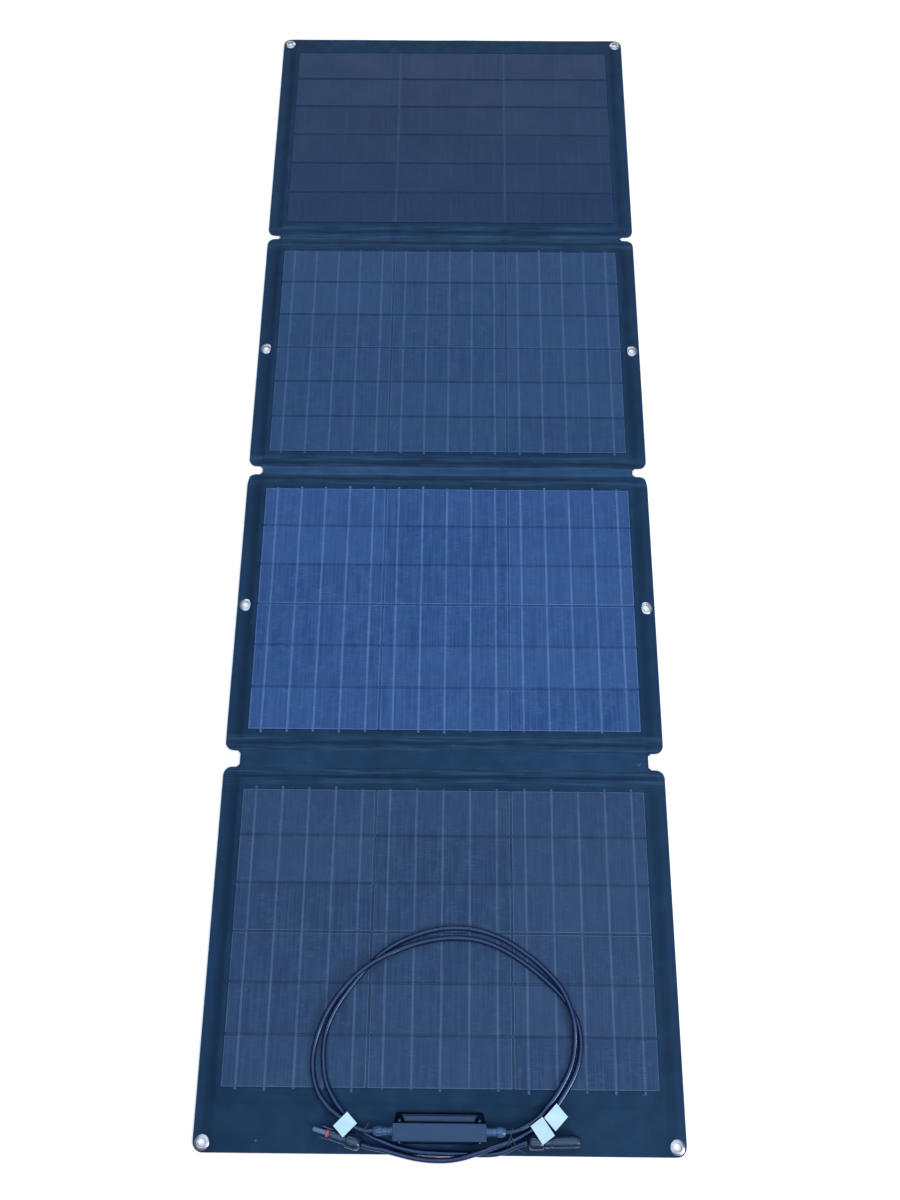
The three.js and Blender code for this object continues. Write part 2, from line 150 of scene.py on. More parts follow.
def block(name, low, high):
    """A cuboid between two corners, with its place and size already in its mesh."""
    middle = (Vector(low) + Vector(high)) / 2
    obj = start(name, bpy.ops.mesh.primitive_cube_add, size=1, location=middle)
    obj.scale = Vector(high) - Vector(low)
    bpy.ops.object.transform_apply(location=True, rotation=True, scale=True)
    return obj


def pick(obj, kind, test):
    """In edit mode, selects only the vertices, edges or faces that pass a test."""
    bpy.ops.mesh.select_mode(type=kind)
    bpy.ops.mesh.select_all(action="DESELECT")
    mesh = bmesh.from_edit_mesh(obj.data)
    for item in {"VERT": mesh.verts, "EDGE": mesh.edges, "FACE": mesh.faces}[kind]:
        if test(item):
            item.select_set(True)
    mesh.select_flush(True)
    bmesh.update_edit_mesh(obj.data)


def add_modifier(obj, kind, **settings):
    """Adds one modifier and applies it."""
    select_only(obj)
    modifier = obj.modifiers.new(kind.title(), kind)
    for name, value in settings.items():
        setattr(modifier, name, value)
    bpy.ops.object.modifier_apply(modifier=modifier.name)


def soften(obj, width, segments=2, angle=40):
    add_modifier(obj, "BEVEL", width=width, segments=segments, limit_method="ANGLE",
                 angle_limit=math.radians(angle), harden_normals=False)


def cut(obj, tool):
    add_modifier(obj, "BOOLEAN", operation="DIFFERENCE", object=tool, solver="EXACT")
    bpy.data.objects.remove(tool)


def join(name, pieces):
    select_only(pieces[0])
    for piece in pieces[1:]:
        piece.select_set(True)
    bpy.ops.object.join()
    pieces[0].name = pieces[0].data.name = name
    return pieces[0]


def finish_piece(obj, body, material, nodes=(), smooth=35):
    """Puts a material on a piece and hangs it on its body, in place of the model's nodes."""
    select_only(obj)
    bpy.ops.object.transform_apply(location=True, rotation=True, scale=True)
    bpy.ops.object.shade_smooth_by_angle(angle=math.radians(smooth))
    if material:
        obj.data.materials.clear()
        obj.data.materials.append(material)
    if nodes:
        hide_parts(*nodes)
    if body:
        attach(obj, body)
    print(f"{obj.name}: {len(obj.data.polygons)} faces on {body or 'a fold'}")
    return obj


# %% [markdown]
# ## Camera
# The panel is seen from above its near leaf, tilted a little towards the far end, so that
# the near leaf looks larger. The lens is near normal. Its place was found from the panel's
# own sizes: the corners of the cells are known, and one camera fits them all.

# %% Camera
camera_data = bpy.data.cameras.new("camera")
camera_data.lens = 31.978
camera_data.sensor_width = 36
camera_data.clip_start = 0.01
camera = bpy.data.objects.new("camera", camera_data)
bpy.context.scene.collection.objects.link(camera)
roll, tilt, turn = (math.radians(a) for a in (-0.4999, 20.211, 1.0306))
camera_place = (0.0136, -0.6172, 1.2633)
aim = Matrix.Rotation(turn, 4, "Z") @ Matrix.Rotation(tilt, 4, "X")
aim = aim @ Matrix.Rotation(roll, 4, "Z")
camera.matrix_world = Matrix.Translation(camera_place) @ aim
bpy.context.scene.camera = camera
print("lens", camera_data.lens, "mm at", tuple(round(v, 3) for v in camera.location))

# %% [markdown]
# ## Floor and light
# A plain white floor takes no attention from the dark panel. Most of the light is an even
# white sky, which leaves hardly any shadow. A large soft panel above the middle puts a broad
# sheen on the cloth, and a smaller one from the near right gives edges a light and a dark
# side, so that raised parts can be read. A third hangs low beyond the far end, so that the
# floor is as white there as in front.

# %% Floor, sky and lights
floor_colour = (0.86, 0.85, 0.835, 1)
floor = start("floor", bpy.ops.mesh.primitive_plane_add, size=12, location=(0, 0, -0.6 * mm))
floor_material = bpy.data.materials.new("white_floor")
floor_material.use_nodes = True
floor_shader = floor_material.node_tree.nodes["Principled BSDF"]
floor_shader.inputs["Base Color"].default_value = floor_colour
floor_shader.inputs["Roughness"].default_value = 0.9
floor_shader.inputs["Specular IOR Level"].default_value = 0.2
floor.data.materials.append(floor_material)
floor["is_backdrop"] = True

sky = bpy.data.worlds.new("even_sky")
sky.use_nodes = True
sky.node_tree.nodes["Background"].inputs["Color"].default_value = (0.93, 0.97, 1, 1)
sky.node_tree.nodes["Background"].inputs["Strength"].default_value = 0.32
bpy.context.scene.world = sky
bpy.context.scene.view_settings.view_transform = "Standard"


def soft_light(name, place, target, size, power, colour):
    light = bpy.data.lights.new(name, "AREA")
    light.shape = "RECTANGLE"
    light.size, light.size_y = size
    light.energy = power
    light.color = colour
    obj = bpy.data.objects.new(name, light)
    obj.location = place
    towards = Vector(target) - Vector(place)
    obj.rotation_euler = towards.to_track_quat("-Z", "Y").to_euler()
    bpy.context.scene.collection.objects.link(obj)
    print(name, power, "W")


soft_light("overhead", place=(0, -0.45, 2.4), target=(0, -0.45, 0), size=(3.4, 3.9),
           power=84, colour=(0.84, 0.94, 1.08))
soft_light("near_right", place=(1.6, -1.7, 1.5), target=(0, -0.35, 0), size=(0.7, 0.7),
           power=40, colour=(1, 0.97, 0.92))
soft_light("far_floor", place=(0, 2.6, 1.6), target=(0, 1.2, 0), size=(2.4, 0.8),
           power=26, colour=(1, 0.97, 0.94))

# %% [markdown]
# ## Leads
# Two cables of about 0.81 m leave the glands of the box. The right one goes round the coil
# against the clock to the socket, and the left one goes the other way to the plug. Each is a
# curve with a round bevel, so it is one smooth tube. The curve passes through the points of
# the model's own route, with handles worked out as for a centripetal spline, so the tube
# lies exactly in the space that the model keeps for it. Where they cross, the upper lead
# goes over in a long low hump.

# %% Lead routes
on_leaf, on_flange, over_lead = 7.6, 4.85, 13.4
right_route = [
    (70.9, -755.7, 10.3), (77, -755.2, 10.3), (86, -752.6, 9.8), (97.6, -746.6, 8.2),
    (108.2, -738.6, 7.6), (116.3, -729.4, on_leaf), (124.5, -720, on_leaf),
    (132, -709, on_leaf), (138.5, -697.6, on_leaf), (143.6, -684.2, 7.8), (146.2, -668.9, 9),
    (146.4, -655.4, 11.4), (144.9, -641.8, 13.4), (140.6, -628.1, over_lead),
    (133.7, -613.8, 12.6), (123.4, -600.5, 9.8), (110.9, -588.5, 8), (98.3, -578.6, on_leaf),
    (68.5, -560.5, on_leaf), (34.1, -550.4, on_leaf), (0, -550.2, on_leaf),
    (-32, -558.4, on_leaf), (-58, -570.8, on_leaf), (-83, -592, on_leaf),
    (-102.4, -615.4, on_leaf), (-115, -634, on_leaf), (-124.8, -657, on_leaf),
    (-126.9, -682, on_leaf), (-122.6, -709, on_leaf), (-111.7, -728, 7.8),
    (-107.2, -733.4, 7.6), (-99, -742.6, 5.8), (-88.3, -752.5, on_flange),
    (-73.6, -761.2, on_flange), (-46.5, -770.8, on_flange), (-24, -775.4, on_flange),
    (0, -776.8, on_flange), (30, -777.2, on_flange), (50, -777.4, on_flange),
    (62, -776.3, 5), (72, -773.2, 5.8), (80, -769.5, 7.4), (87, -766.8, 9), (92.8, -765.6, 9.6),
]
left_route = [
    (-70.9, -755.7, 10.3), (-79, -755.4, 11.3), (-87.5, -753, 11.7), (-97.3, -747.9, 11.5),
    (-108, -741.6, 10.2), (-118.6, -733.8, 8.2), (-128.6, -722.6, on_leaf),
    (-135.4, -707.9, on_leaf), (-138.2, -691, on_leaf), (-137.4, -675, on_leaf),
    (-132.9, -657.2, 8.6), (-124, -637.2, 11.4), (-111.8, -619.2, 13),
    (-97, -602.8, over_lead), (-80, -589.4, over_lead), (-60, -578.6, 12),
    (-38.7, -570, 8.8), (-21.6, -564.8, on_leaf), (8, -560.2, on_leaf), (40, -562, on_leaf),
    (68.5, -571.7, on_leaf), (98.1, -589.7, on_leaf), (118, -605.4, on_leaf),
    (133.2, -619.8, on_leaf), (144.2, -634.8, on_leaf), (151, -650, on_leaf),
    (153, -667, on_leaf), (150.8, -684.2, on_leaf), (145, -700, on_leaf),
    (137.6, -712.6, on_leaf), (127.2, -727.4, 7.7), (121.6, -735, 7.4), (112.6, -743.9, 6),
    (98.4, -753.8, 5.4), (82, -761.8, 6.6), (66, -767.3, 9.2), (50, -772.2, 11),
    (38, -776.2, 11.1), (24, -780.3, 10.4), (10, -782.8, 7.8), (-6, -783.5, 5.4),
    (-24, -782, on_flange), (-46.4, -777.4, on_flange), (-62, -773.6, 5.8),
    (-74, -771.4, 8.6), (-82.2, -769.1, 9.6),
]
lead_radius = 2.85 * mm

# %% Lead curves
def lead(name, route):
    points = [Vector(point) * mm for point in route]
    before = [2 * points[0] - points[1]] + points[:-1]
    after = points[1:] + [2 * points[-1] - points[-2]]
    curve = bpy.data.curves.new(name, "CURVE")
    curve.dimensions = "3D"
    curve.bevel_depth = lead_radius
    curve.bevel_resolution = 4
    curve.resolution_u = 8
    curve.use_fill_caps = True
    spline = curve.splines.new("BEZIER")
    spline.bezier_points.add(len(points) - 1)
    for bezier, previous, point, following in zip(spline.bezier_points, before, points, after):
        step_in = (point - previous).length ** 0.5
        step_out = (following - point).length ** 0.5
        slope = (point - previous) / step_in + (following - point) / step_out
        slope -= (following - previous) / (step_in + step_out)
        bezier.co = point
        bezier.handle_left_type = bezier.handle_right_type = "FREE"
        bezier.handle_left = point - slope * step_in / 3
        bezier.handle_right = point + slope * step_out / 3
    obj = bpy.data.objects.new(name, curve)
    bpy.context.scene.collection.objects.link(obj)
    return obj


right_lead = lead("right_lead", right_route)
left_lead = lead("left_lead", left_route)
print("leads:", len(right_route), "and", len(left_route), "points")

# %% [markdown]
# ## Effects that several materials share
# Cloth, cell film and mouldings share a few surface effects: a plain weave, a fine film
# texture, painted shade and sheen along the foot of the board ramps beside the folds, soft
# blotches, thin scuffs, specks of lint and moulded grain. Each is a node group that gives a
# height or a mask, so a material mixes them with its own strengths. A value that is the same
# all over stays on the shader.

# %% Node helpers
class Nodes:
    """Adds nodes to a tree and links them by name."""

    def __init__(self, tree, result=None):
        self.tree = tree
        self.result = result

    def add(self, kind, inputs=None, **settings):
        node = self.tree.nodes.new("ShaderNode" + kind)
        for name, value in settings.items():
            setattr(node, name, value)
        for name, value in (inputs or {}).items():
            if isinstance(value, bpy.types.NodeSocket):
                self.tree.links.new(value, node.inputs[name])
            else:
                node.inputs[name].default_value = value
        return node

    def math(self, operation, a, b=0.0, clamp=False):
        node = self.add("Math", {0: a, 1: b}, operation=operation, use_clamp=clamp)
        return node.outputs[0]

    def times(self, a, b, clamp=False):
        return self.math("MULTIPLY", a, b, clamp)

    def plus(self, a, b, clamp=False):
        return self.math("ADD", a, b, clamp)

    def minus(self, a, b):
        return self.math("SUBTRACT", a, b)

    def absolute(self, a):
        return self.math("ABSOLUTE", a)

    def give(self, name, value):
        """Links a value to one of the group's outputs."""
        self.tree.links.new(value, self.result[name])

    def mix(self, factor, a, b):
        node = self.add("Mix", data_type="RGBA")
        for socket, value in ((node.inputs[0], factor), (node.inputs[6], a), (node.inputs[7], b)):
            if isinstance(value, bpy.types.NodeSocket):
                self.tree.links.new(value, socket)
            else:
                socket.default_value = value
        return node.outputs[2]

    def ramp(self, value, low, high):
        node = self.add("MapRange", {0: value, 1: low, 2: high, 3: 0.0, 4: 1.0})
        node.interpolation_type = "SMOOTHSTEP"
        return node.outputs[0]


def group(name, inputs, outputs):
    """A node group with float inputs, a Vector input, and float outputs."""
    tree = bpy.data.node_groups.new(name, "ShaderNodeTree")
    tree.interface.new_socket("Vector", in_out="INPUT", socket_type="NodeSocketVector")
    for socket, value in inputs.items():
        made = tree.interface.new_socket(socket, in_out="INPUT", socket_type="NodeSocketFloat")
        made.default_value = value
    for socket in outputs:
        tree.interface.new_socket(socket, in_out="OUTPUT", socket_type="NodeSocketFloat")
    given = tree.nodes.new("NodeGroupInput").outputs
    return Nodes(tree, tree.nodes.new("NodeGroupOutput").inputs), given


# %% Plain weave
weave, given = group("plain_weave", {"Pitch": 0.0006}, ["Height", "Gap"])
split = weave.add("SeparateXYZ", {0: given["Vector"]})
threads = []
for axis in (0, 1):
    along = weave.math("DIVIDE", split.outputs[axis], given["Pitch"])
    inside = weave.math("FRACT", along)
    threads.append((along, weave.math("SINE", weave.times(inside, math.pi))))
counts = weave.plus(weave.math("FLOOR", threads[0][0]), weave.math("FLOOR", threads[1][0]))
over = weave.absolute(weave.math("MODULO", counts, 2.0))
under = weave.minus(1.0, over)
height = weave.plus(weave.times(threads[0][1], over), weave.times(threads[1][1], under))
weave.give("Height", height)
gap = weave.minus(1.0, weave.times(threads[0][1], threads[1][1]))
weave.give("Gap", gap)
print("group", weave.tree.name)

# %% Film texture: fine lines both ways, streaks along the panel and dashes across it
film, given = group("film_texture", {"Pitch": 0.0011}, ["Height", "Streaks", "Crosslines"])
split = film.add("SeparateXYZ", {0: given["Vector"]})
waves = []
for axis in (0, 1):
    along = film.math("DIVIDE", split.outputs[axis], given["Pitch"])
    waves.append(film.math("SINE", film.times(along, math.tau)))
film.give("Height", film.times(waves[0], waves[1]))
for name, scale in (("Streaks", (560.0, 12.0, 1.0)), ("Crosslines", (90.0, 700.0, 1.0))):
    stretched = film.add("VectorMath", {0: given["Vector"], 1: scale}, operation="MULTIPLY")
    lines = film.add("TexNoise", {"Vector": stretched.outputs[0], "Scale": 1.0, "Detail": 2.0})
    strength = film.ramp(lines.outputs[0], 0.38, 0.64)
    if name == "Crosslines":
        patches = film.add("TexNoise", {"Vector": given["Vector"], "Scale": 90.0, "Detail": 2.0})
        strength = film.times(strength, film.ramp(patches.outputs[0], 0.42, 0.62))
    film.give(name, strength)
print("group", film.tree.name)

# %% Painted shade and sheen at the foot of the board ramps beside the folds
shade_and_sheen_lines, given = group("fold_shade_and_sheen", {"Wander": 0.006}, ["Dark", "Light"])
split = shade_and_sheen_lines.add("SeparateXYZ", {0: given["Vector"]})
slow = shade_and_sheen_lines.add("TexNoise", {"Vector": given["Vector"], "Scale": 18.0, "Detail": 3.0})
wander = shade_and_sheen_lines.times(shade_and_sheen_lines.minus(slow.outputs[0], 0.5), given["Wander"])
along = shade_and_sheen_lines.plus(split.outputs[1], wander)
foot_margin = raised_margin + 2 * mm
ramp_feet = [leaves[n].cells_far + foot_margin for n in (4, 3, 2)]
ramp_feet += [leaves[n].cells_near - foot_margin for n in (3, 2, 1)]
nearest_foot = shade_and_sheen_lines.absolute(shade_and_sheen_lines.minus(along, ramp_feet[0]))
for foot in ramp_feet[1:]:
    away = shade_and_sheen_lines.absolute(shade_and_sheen_lines.minus(along, foot))
    nearest_foot = shade_and_sheen_lines.math("MINIMUM", nearest_foot, away)
across = shade_and_sheen_lines.absolute(split.outputs[0])
over_board = shade_and_sheen_lines.ramp(across, raised_half + 2 * mm, raised_half - 10 * mm)
faint = shade_and_sheen_lines.times(shade_and_sheen_lines.ramp(slow.outputs[0], 0.3, 0.6), over_board)
# Painted shade: a dark line along the foot of each board ramp, and darker patches in the dents
# beside the flat wires
line = shade_and_sheen_lines.times(shade_and_sheen_lines.ramp(nearest_foot, 2.6 * mm, 0.6 * mm), faint)
from_wire = shade_and_sheen_lines.absolute(shade_and_sheen_lines.minus(across, wire_x))
dent_shade_across = shade_and_sheen_lines.ramp(from_wire, 13 * mm, 2 * mm)
dent_shade = shade_and_sheen_lines.times(dent_shade_across, shade_and_sheen_lines.ramp(nearest_foot, 6 * mm, 1 * mm))
shade_and_sheen_lines.give("Dark", shade_and_sheen_lines.math("MAXIMUM", line, dent_shade))
# Painted sheen: a streaky light band beside each ramp foot
beside = shade_and_sheen_lines.absolute(shade_and_sheen_lines.minus(nearest_foot, 6 * mm))
drawn = shade_and_sheen_lines.add("VectorMath", {0: given["Vector"], 1: (14.0, 420.0, 1.0)}, operation="MULTIPLY")
threads = shade_and_sheen_lines.add("TexNoise", {"Vector": drawn.outputs[0], "Scale": 1.0, "Detail": 2.0})
streaky = shade_and_sheen_lines.ramp(threads.outputs[0], 0.35, 0.75)
shade_and_sheen_lines.give("Light", shade_and_sheen_lines.times(shade_and_sheen_lines.ramp(beside, 6 * mm, 1 * mm), streaky))
print("group", shade_and_sheen_lines.tree.name, "with", len(ramp_feet), "shade_and_sheen_lines")

# %% Blotches, scuffs, lint and moulded grain
blotch, given = group("blotches", {"Scale": 12.0}, ["Mask"])
spots = blotch.add("TexNoise", {"Vector": given["Vector"], "Scale": given["Scale"], "Detail": 4.0})
blotch.give("Mask", blotch.ramp(spots.outputs[0], 0.3, 0.7))

scuff, given = group("scuffs", {"Rarity": 0.7}, ["Mask"])
bend = scuff.add("TexNoise", {"Vector": given["Vector"], "Scale": 9.0})
bent = scuff.add("VectorMath", {0: given["Vector"], 1: bend.outputs["Color"]}, operation="ADD")
drawn = scuff.add("VectorMath", {0: bent.outputs[0], 1: (160.0, 34.0, 20.0)}, operation="MULTIPLY")
lines = scuff.add("TexNoise", {"Vector": drawn.outputs[0], "Scale": 1.0, "Detail": 3.0})
above = scuff.plus(given["Rarity"], 0.07)
marks = scuff.add("MapRange", {0: lines.outputs[0], 1: given["Rarity"], 2: above})
scuff.give("Mask", marks.outputs[0])

lint, given = group("lint", {"Scale": 26.0}, ["Mask"])
dots = lint.add("TexVoronoi", {"Vector": given["Vector"], "Scale": given["Scale"]})
rare = lint.add("SeparateColor", {0: dots.outputs["Color"]}).outputs[0]
speck = lint.math("LESS_THAN", dots.outputs["Distance"], 0.022)
chosen = lint.times(lint.math("GREATER_THAN", rare, 0.86), 0.4)
lint.give("Mask", lint.times(speck, chosen))

grain, given = group("moulded_grain", {"Scale": 1500.0}, ["Height", "Mask"])
fine = grain.add("TexNoise", {"Vector": given["Vector"], "Scale": given["Scale"], "Detail": 2.0})
broad = grain.add("TexNoise", {"Vector": given["Vector"], "Scale": 60.0, "Detail": 3.0})
grain.give("Height", fine.outputs[0])
grain.give("Mask", grain.ramp(broad.outputs[0], 0.35, 0.65))
print("groups", [g.name for g in bpy.data.node_groups])

# %% [markdown]
# ## Cloth materials
# The cloth is a dark blue woven polyester with a clear coating. Its colour drifts a little,
# its threads catch the light, and lint and a few pale scuffs show wear. It is paler at the
# pressed rim, has painted shade on the flange round the board, and painted shade and sheen
# along the foot of the board's ramp beside the folds. Front, fold and back cloths differ in
# colour and gloss, and the middle fold gets a paler copy as painted sheen, so one recipe makes all
# four.

# %% Helpers for materials
def rgb(red, green, blue):
    """A colour from 0 to 255 on screen, as the linear values that a shader wants."""
    linear = [((c / 255 + 0.055) / 1.055) ** 2.4 if c > 10 else c / 255 / 12.92
              for c in (red, green, blue)]
    return (*linear, 1.0)


def new_material(name, specular=0.5):
    material = bpy.data.materials.new(name)
    material.use_nodes = True
    nodes = Nodes(material.node_tree)
    shader = material.node_tree.nodes["Principled BSDF"]
    shader.inputs["Specular IOR Level"].default_value = specular
    place = nodes.add("TexCoord").outputs["Object"]
    return material, nodes, shader, place


def use_group(nodes, tree, place, **values):
    return nodes.add("Group", {0: place, **values}, node_tree=bpy.data.node_groups[tree])


def plug_in(nodes, shader, colour=None, roughness=None, height=None, distance=0.0001):
    """Links the changing values of a surface into its shader."""
    for socket, value in (("Base Color", colour), ("Roughness", roughness)):
        if isinstance(value, bpy.types.NodeSocket):
            nodes.tree.links.new(value, shader.inputs[socket])
        elif value is not None:
            shader.inputs[socket].default_value = value
    if height is not None:
        bump = nodes.add("Bump", {"Height": height, "Distance": distance, "Strength": 1.0})
        nodes.tree.links.new(bump.outputs[0], shader.inputs["Normal"])


# %% Cloth
def cloth_material(name, colour, light_colour, dark_colour, rough, pitch):
    colour, light_colour, dark_colour = rgb(*colour), rgb(*light_colour), rgb(*dark_colour)
    material, nodes, shader, place = new_material(name, specular=0.12)
    shader.inputs["Specular Tint"].default_value = (0.6, 0.82, 1, 1)
    threads = use_group(nodes, "plain_weave", place, Pitch=pitch)
    large = use_group(nodes, "blotches", place, Scale=7.0).outputs[0]
    small = use_group(nodes, "blotches", place, Scale=45.0).outputs[0]
    marks = use_group(nodes, "scuffs", place, Rarity=0.72).outputs[0]
    drift = nodes.mix(large, colour, light_colour)
    drift = nodes.mix(nodes.times(small, 0.35), drift, dark_colour)
    gaps = nodes.times(threads.outputs["Gap"], 0.25)
    woven = nodes.mix(gaps, drift, dark_colour)
    across = nodes.add("SeparateXYZ", {0: place}).outputs[0]
    from_middle = nodes.absolute(across)
    pressed = nodes.ramp(from_middle, half_width - 13 * mm, half_width - 5 * mm)
    off_board = nodes.ramp(from_middle, raised_half - 4 * mm, raised_half)
    # Painted shade on the flange between the pressed rim and the raised board
    shaded = nodes.minus(off_board, pressed)
    rimmed = nodes.mix(nodes.times(pressed, 0.3), woven, light_colour)
    rimmed = nodes.mix(nodes.times(shaded, 0.35, clamp=True), rimmed, dark_colour)
    lint = use_group(nodes, "lint", place).outputs[0]
    painted_fold_light = use_group(nodes, "fold_shade_and_sheen", place).outputs
    # Painted shade along the ramp feet and in the wire dents, then a painted sheen beside them
    rimmed = nodes.mix(nodes.times(painted_fold_light["Dark"], 0.75), rimmed, dark_colour)
    rimmed = nodes.mix(nodes.times(painted_fold_light["Light"], 0.3), rimmed, rgb(62, 92, 128))
    marked = nodes.plus(nodes.times(marks, 0.3), lint, clamp=True)
    worn = nodes.mix(marked, rimmed, rgb(120, 145, 175))
    roughness = nodes.plus(nodes.times(small, 0.12), rough)
    plug_in(nodes, shader, worn, roughness, threads.outputs["Height"], pitch * 0.12)
    return material


cloths = {}
for name, colour, light_colour, dark_colour, rough, pitch in (
        ("front_cloth", (16, 41, 66), (21, 49, 78), (9, 28, 50), 0.5, 0.6 * mm),
        ("fold_cloth", (20, 47, 74), (26, 56, 87), (12, 34, 57), 0.48, 0.6 * mm),
        # A paler copy of the fold cloth for the middle fold: painted sheen
        ("worn_fold_cloth", (29, 58, 90), (38, 68, 102), (18, 42, 68), 0.44, 0.6 * mm),
        ("back_cloth", (20, 30, 44), (25, 37, 54), (12, 19, 30), 0.7, 0.9 * mm)):
    cloths[name] = cloth_material(name, colour, light_colour, dark_colour, rough, pitch)
print("cloths:", list(cloths))

# %% [markdown]
# ## Cell materials
# The cells lie under a clear textured film. Each is dark blue, with fine pale streaks along
# the panel where the film's texture and the silver fingers catch the light. A full wafer has
# a thin paler border, which stays only on the edges that were not cut. The ribbons that join
# the cells are tinned, and look grey-blue through the film. Each leaf's cells get their own
# tone and contrast as painted light: palest on the third leaf as painted sheen, and falling
# off towards both ends, darkest on the far leaf. Single cells differ a little. On the far
# leaf the ribbons hardly show, and the sheet behind the cells is paler than they are.

# %% Cells, borders and ribbons
def shade(tone, amount):
    """A tone made paler or darker, as a shader colour."""
    return rgb(*(max(0, channel + amount) for channel in tone))


def cell_shift(nodes, place, first_row):
    """A value from 0 to 1 that is the same all over one cell, and differs between cells."""
    offset = nodes.add("VectorMath", {0: place, 1: (cells_half, -first_row, 0)}, operation="ADD")
    count = nodes.add("VectorMath", {0: offset.outputs[0], 1: (column_step, cell_step, 1)},
                      operation="DIVIDE")
    whole = nodes.add("VectorMath", {0: count.outputs[0]}, operation="FLOOR")
    return nodes.add("TexWhiteNoise", {"Vector": whole.outputs[0]}).outputs["Value"]


def cell_material(name, tone, streak, first_row):
    material, nodes, shader, place = new_material(name, specular=0.2)
    shader.inputs["Specular Tint"].default_value = (0.55, 0.8, 1, 1)
    texture = use_group(nodes, "film_texture", place)
    clouds = use_group(nodes, "blotches", place, Scale=16.0).outputs[0]
    wide = use_group(nodes, "blotches", place, Scale=5.0).outputs[0]
    red, green, blue = tone
    greener = rgb(max(0, red - 5), green + 1, blue - 1)
    base = nodes.mix(clouds, greener, rgb(red + 3, green - 3, blue + 1))
    base = nodes.mix(nodes.times(wide, 0.4), base, shade(tone, 5))
    shift = cell_shift(nodes, place, first_row)
    base = nodes.mix(nodes.times(shift, 0.6), base, shade(tone, 0.7 * streak))
    streaks = nodes.times(texture.outputs["Streaks"], 0.5)
    streaked = nodes.mix(streaks, base, shade(tone, streak))
    crossed = nodes.times(texture.outputs["Crosslines"], 0.6)
    lined = nodes.mix(crossed, streaked, shade(tone, streak))
    marks = use_group(nodes, "scuffs", place, Rarity=0.735).outputs[0]
    lint = use_group(nodes, "lint", place, Scale=17.0).outputs[0]
    marked = nodes.plus(nodes.times(marks, 0.25), lint, clamp=True)
    worn = nodes.mix(marked, lined, rgb(130, 155, 190))
    roughness = nodes.plus(nodes.times(clouds, 0.08), 0.4)
    plug_in(nodes, shader, worn, roughness, texture.outputs["Height"], 0.015 * mm)
    return material


class CellFinish:
    """The finishes of one leaf's cells: a part's amount of the contrast makes it paler."""

    def __init__(self, number, tone, contrast, ribbon=0.9, backing=0):
        row = leaves[number].cells_near

        def finish(part, amount):
            shifted = [max(0, channel + amount * contrast) for channel in tone]
            return cell_material(f"{part}_{number}", shifted, contrast, row)

        self.face = finish("cell_face", 0)
        self.border = finish("cell_border", 1.4)
        self.ribbon = finish("ribbon_metal", ribbon)
        self.backing = finish("cell_backing", backing)


# Tones and contrasts are highest on the third leaf and lowest on the far one: a painted pool of
# light with its sheen, falling off towards both ends
cell_finishes = {
    1: CellFinish(1, (6, 29, 62), 12, ribbon=0.3, backing=2),
    2: CellFinish(2, (21, 46, 80), 18),
    3: CellFinish(3, (20, 49, 94), 26),
    4: CellFinish(4, (18, 38, 68), 22),
}
print("cell finishes:", [finish.face.name for finish in cell_finishes.values()])

# %% [markdown]
# ## Plastic, rubber and metal
# The box is one dark glossy moulding. Its lid and the pad's top take a paler, bluer copy as
# painted reflection of the sky, and the rest of the base a darker, duller copy as painted
# shade. The glands and the plug's sleeve are paler, and the connectors are the glossiest. The
# lead's jacket is smooth with a blue shine. The eyelets are rolled metal with fine turning
# marks, and copper, rubber, board and circuit board are inside.

# %% Moulded and metal finishes
def moulded_material(name, colour, light_colour, rough, bump, specular, wear):
    material, nodes, shader, place = new_material(name, specular=specular)
    shader.inputs["Specular Tint"].default_value = (0.42, 0.68, 1, 1)
    surface = use_group(nodes, "moulded_grain", place)
    marks = use_group(nodes, "scuffs", place, Rarity=0.7).outputs[0]
    mixed = nodes.mix(surface.outputs["Mask"], colour, light_colour)
    worn = nodes.mix(nodes.times(marks, wear), mixed, rgb(96, 122, 158))
    roughness = nodes.plus(nodes.times(surface.outputs["Mask"], 0.1), rough)
    plug_in(nodes, shader, worn, roughness, surface.outputs["Height"], bump)
    return material


def metal_material(name, colour, dark_colour, rough):
    material, nodes, shader, place = new_material(name)
    shader.inputs["Metallic"].default_value = 1.0
    marks = use_group(nodes, "scuffs", place, Rarity=0.6).outputs[0]
    cloud = use_group(nodes, "blotches", place, Scale=300.0).outputs[0]
    mixed = nodes.mix(nodes.times(cloud, 0.5), colour, dark_colour)
    roughness = nodes.plus(nodes.times(marks, 0.2), rough)
    plug_in(nodes, shader, mixed, roughness, cloud, 0.005 * mm)
    return material


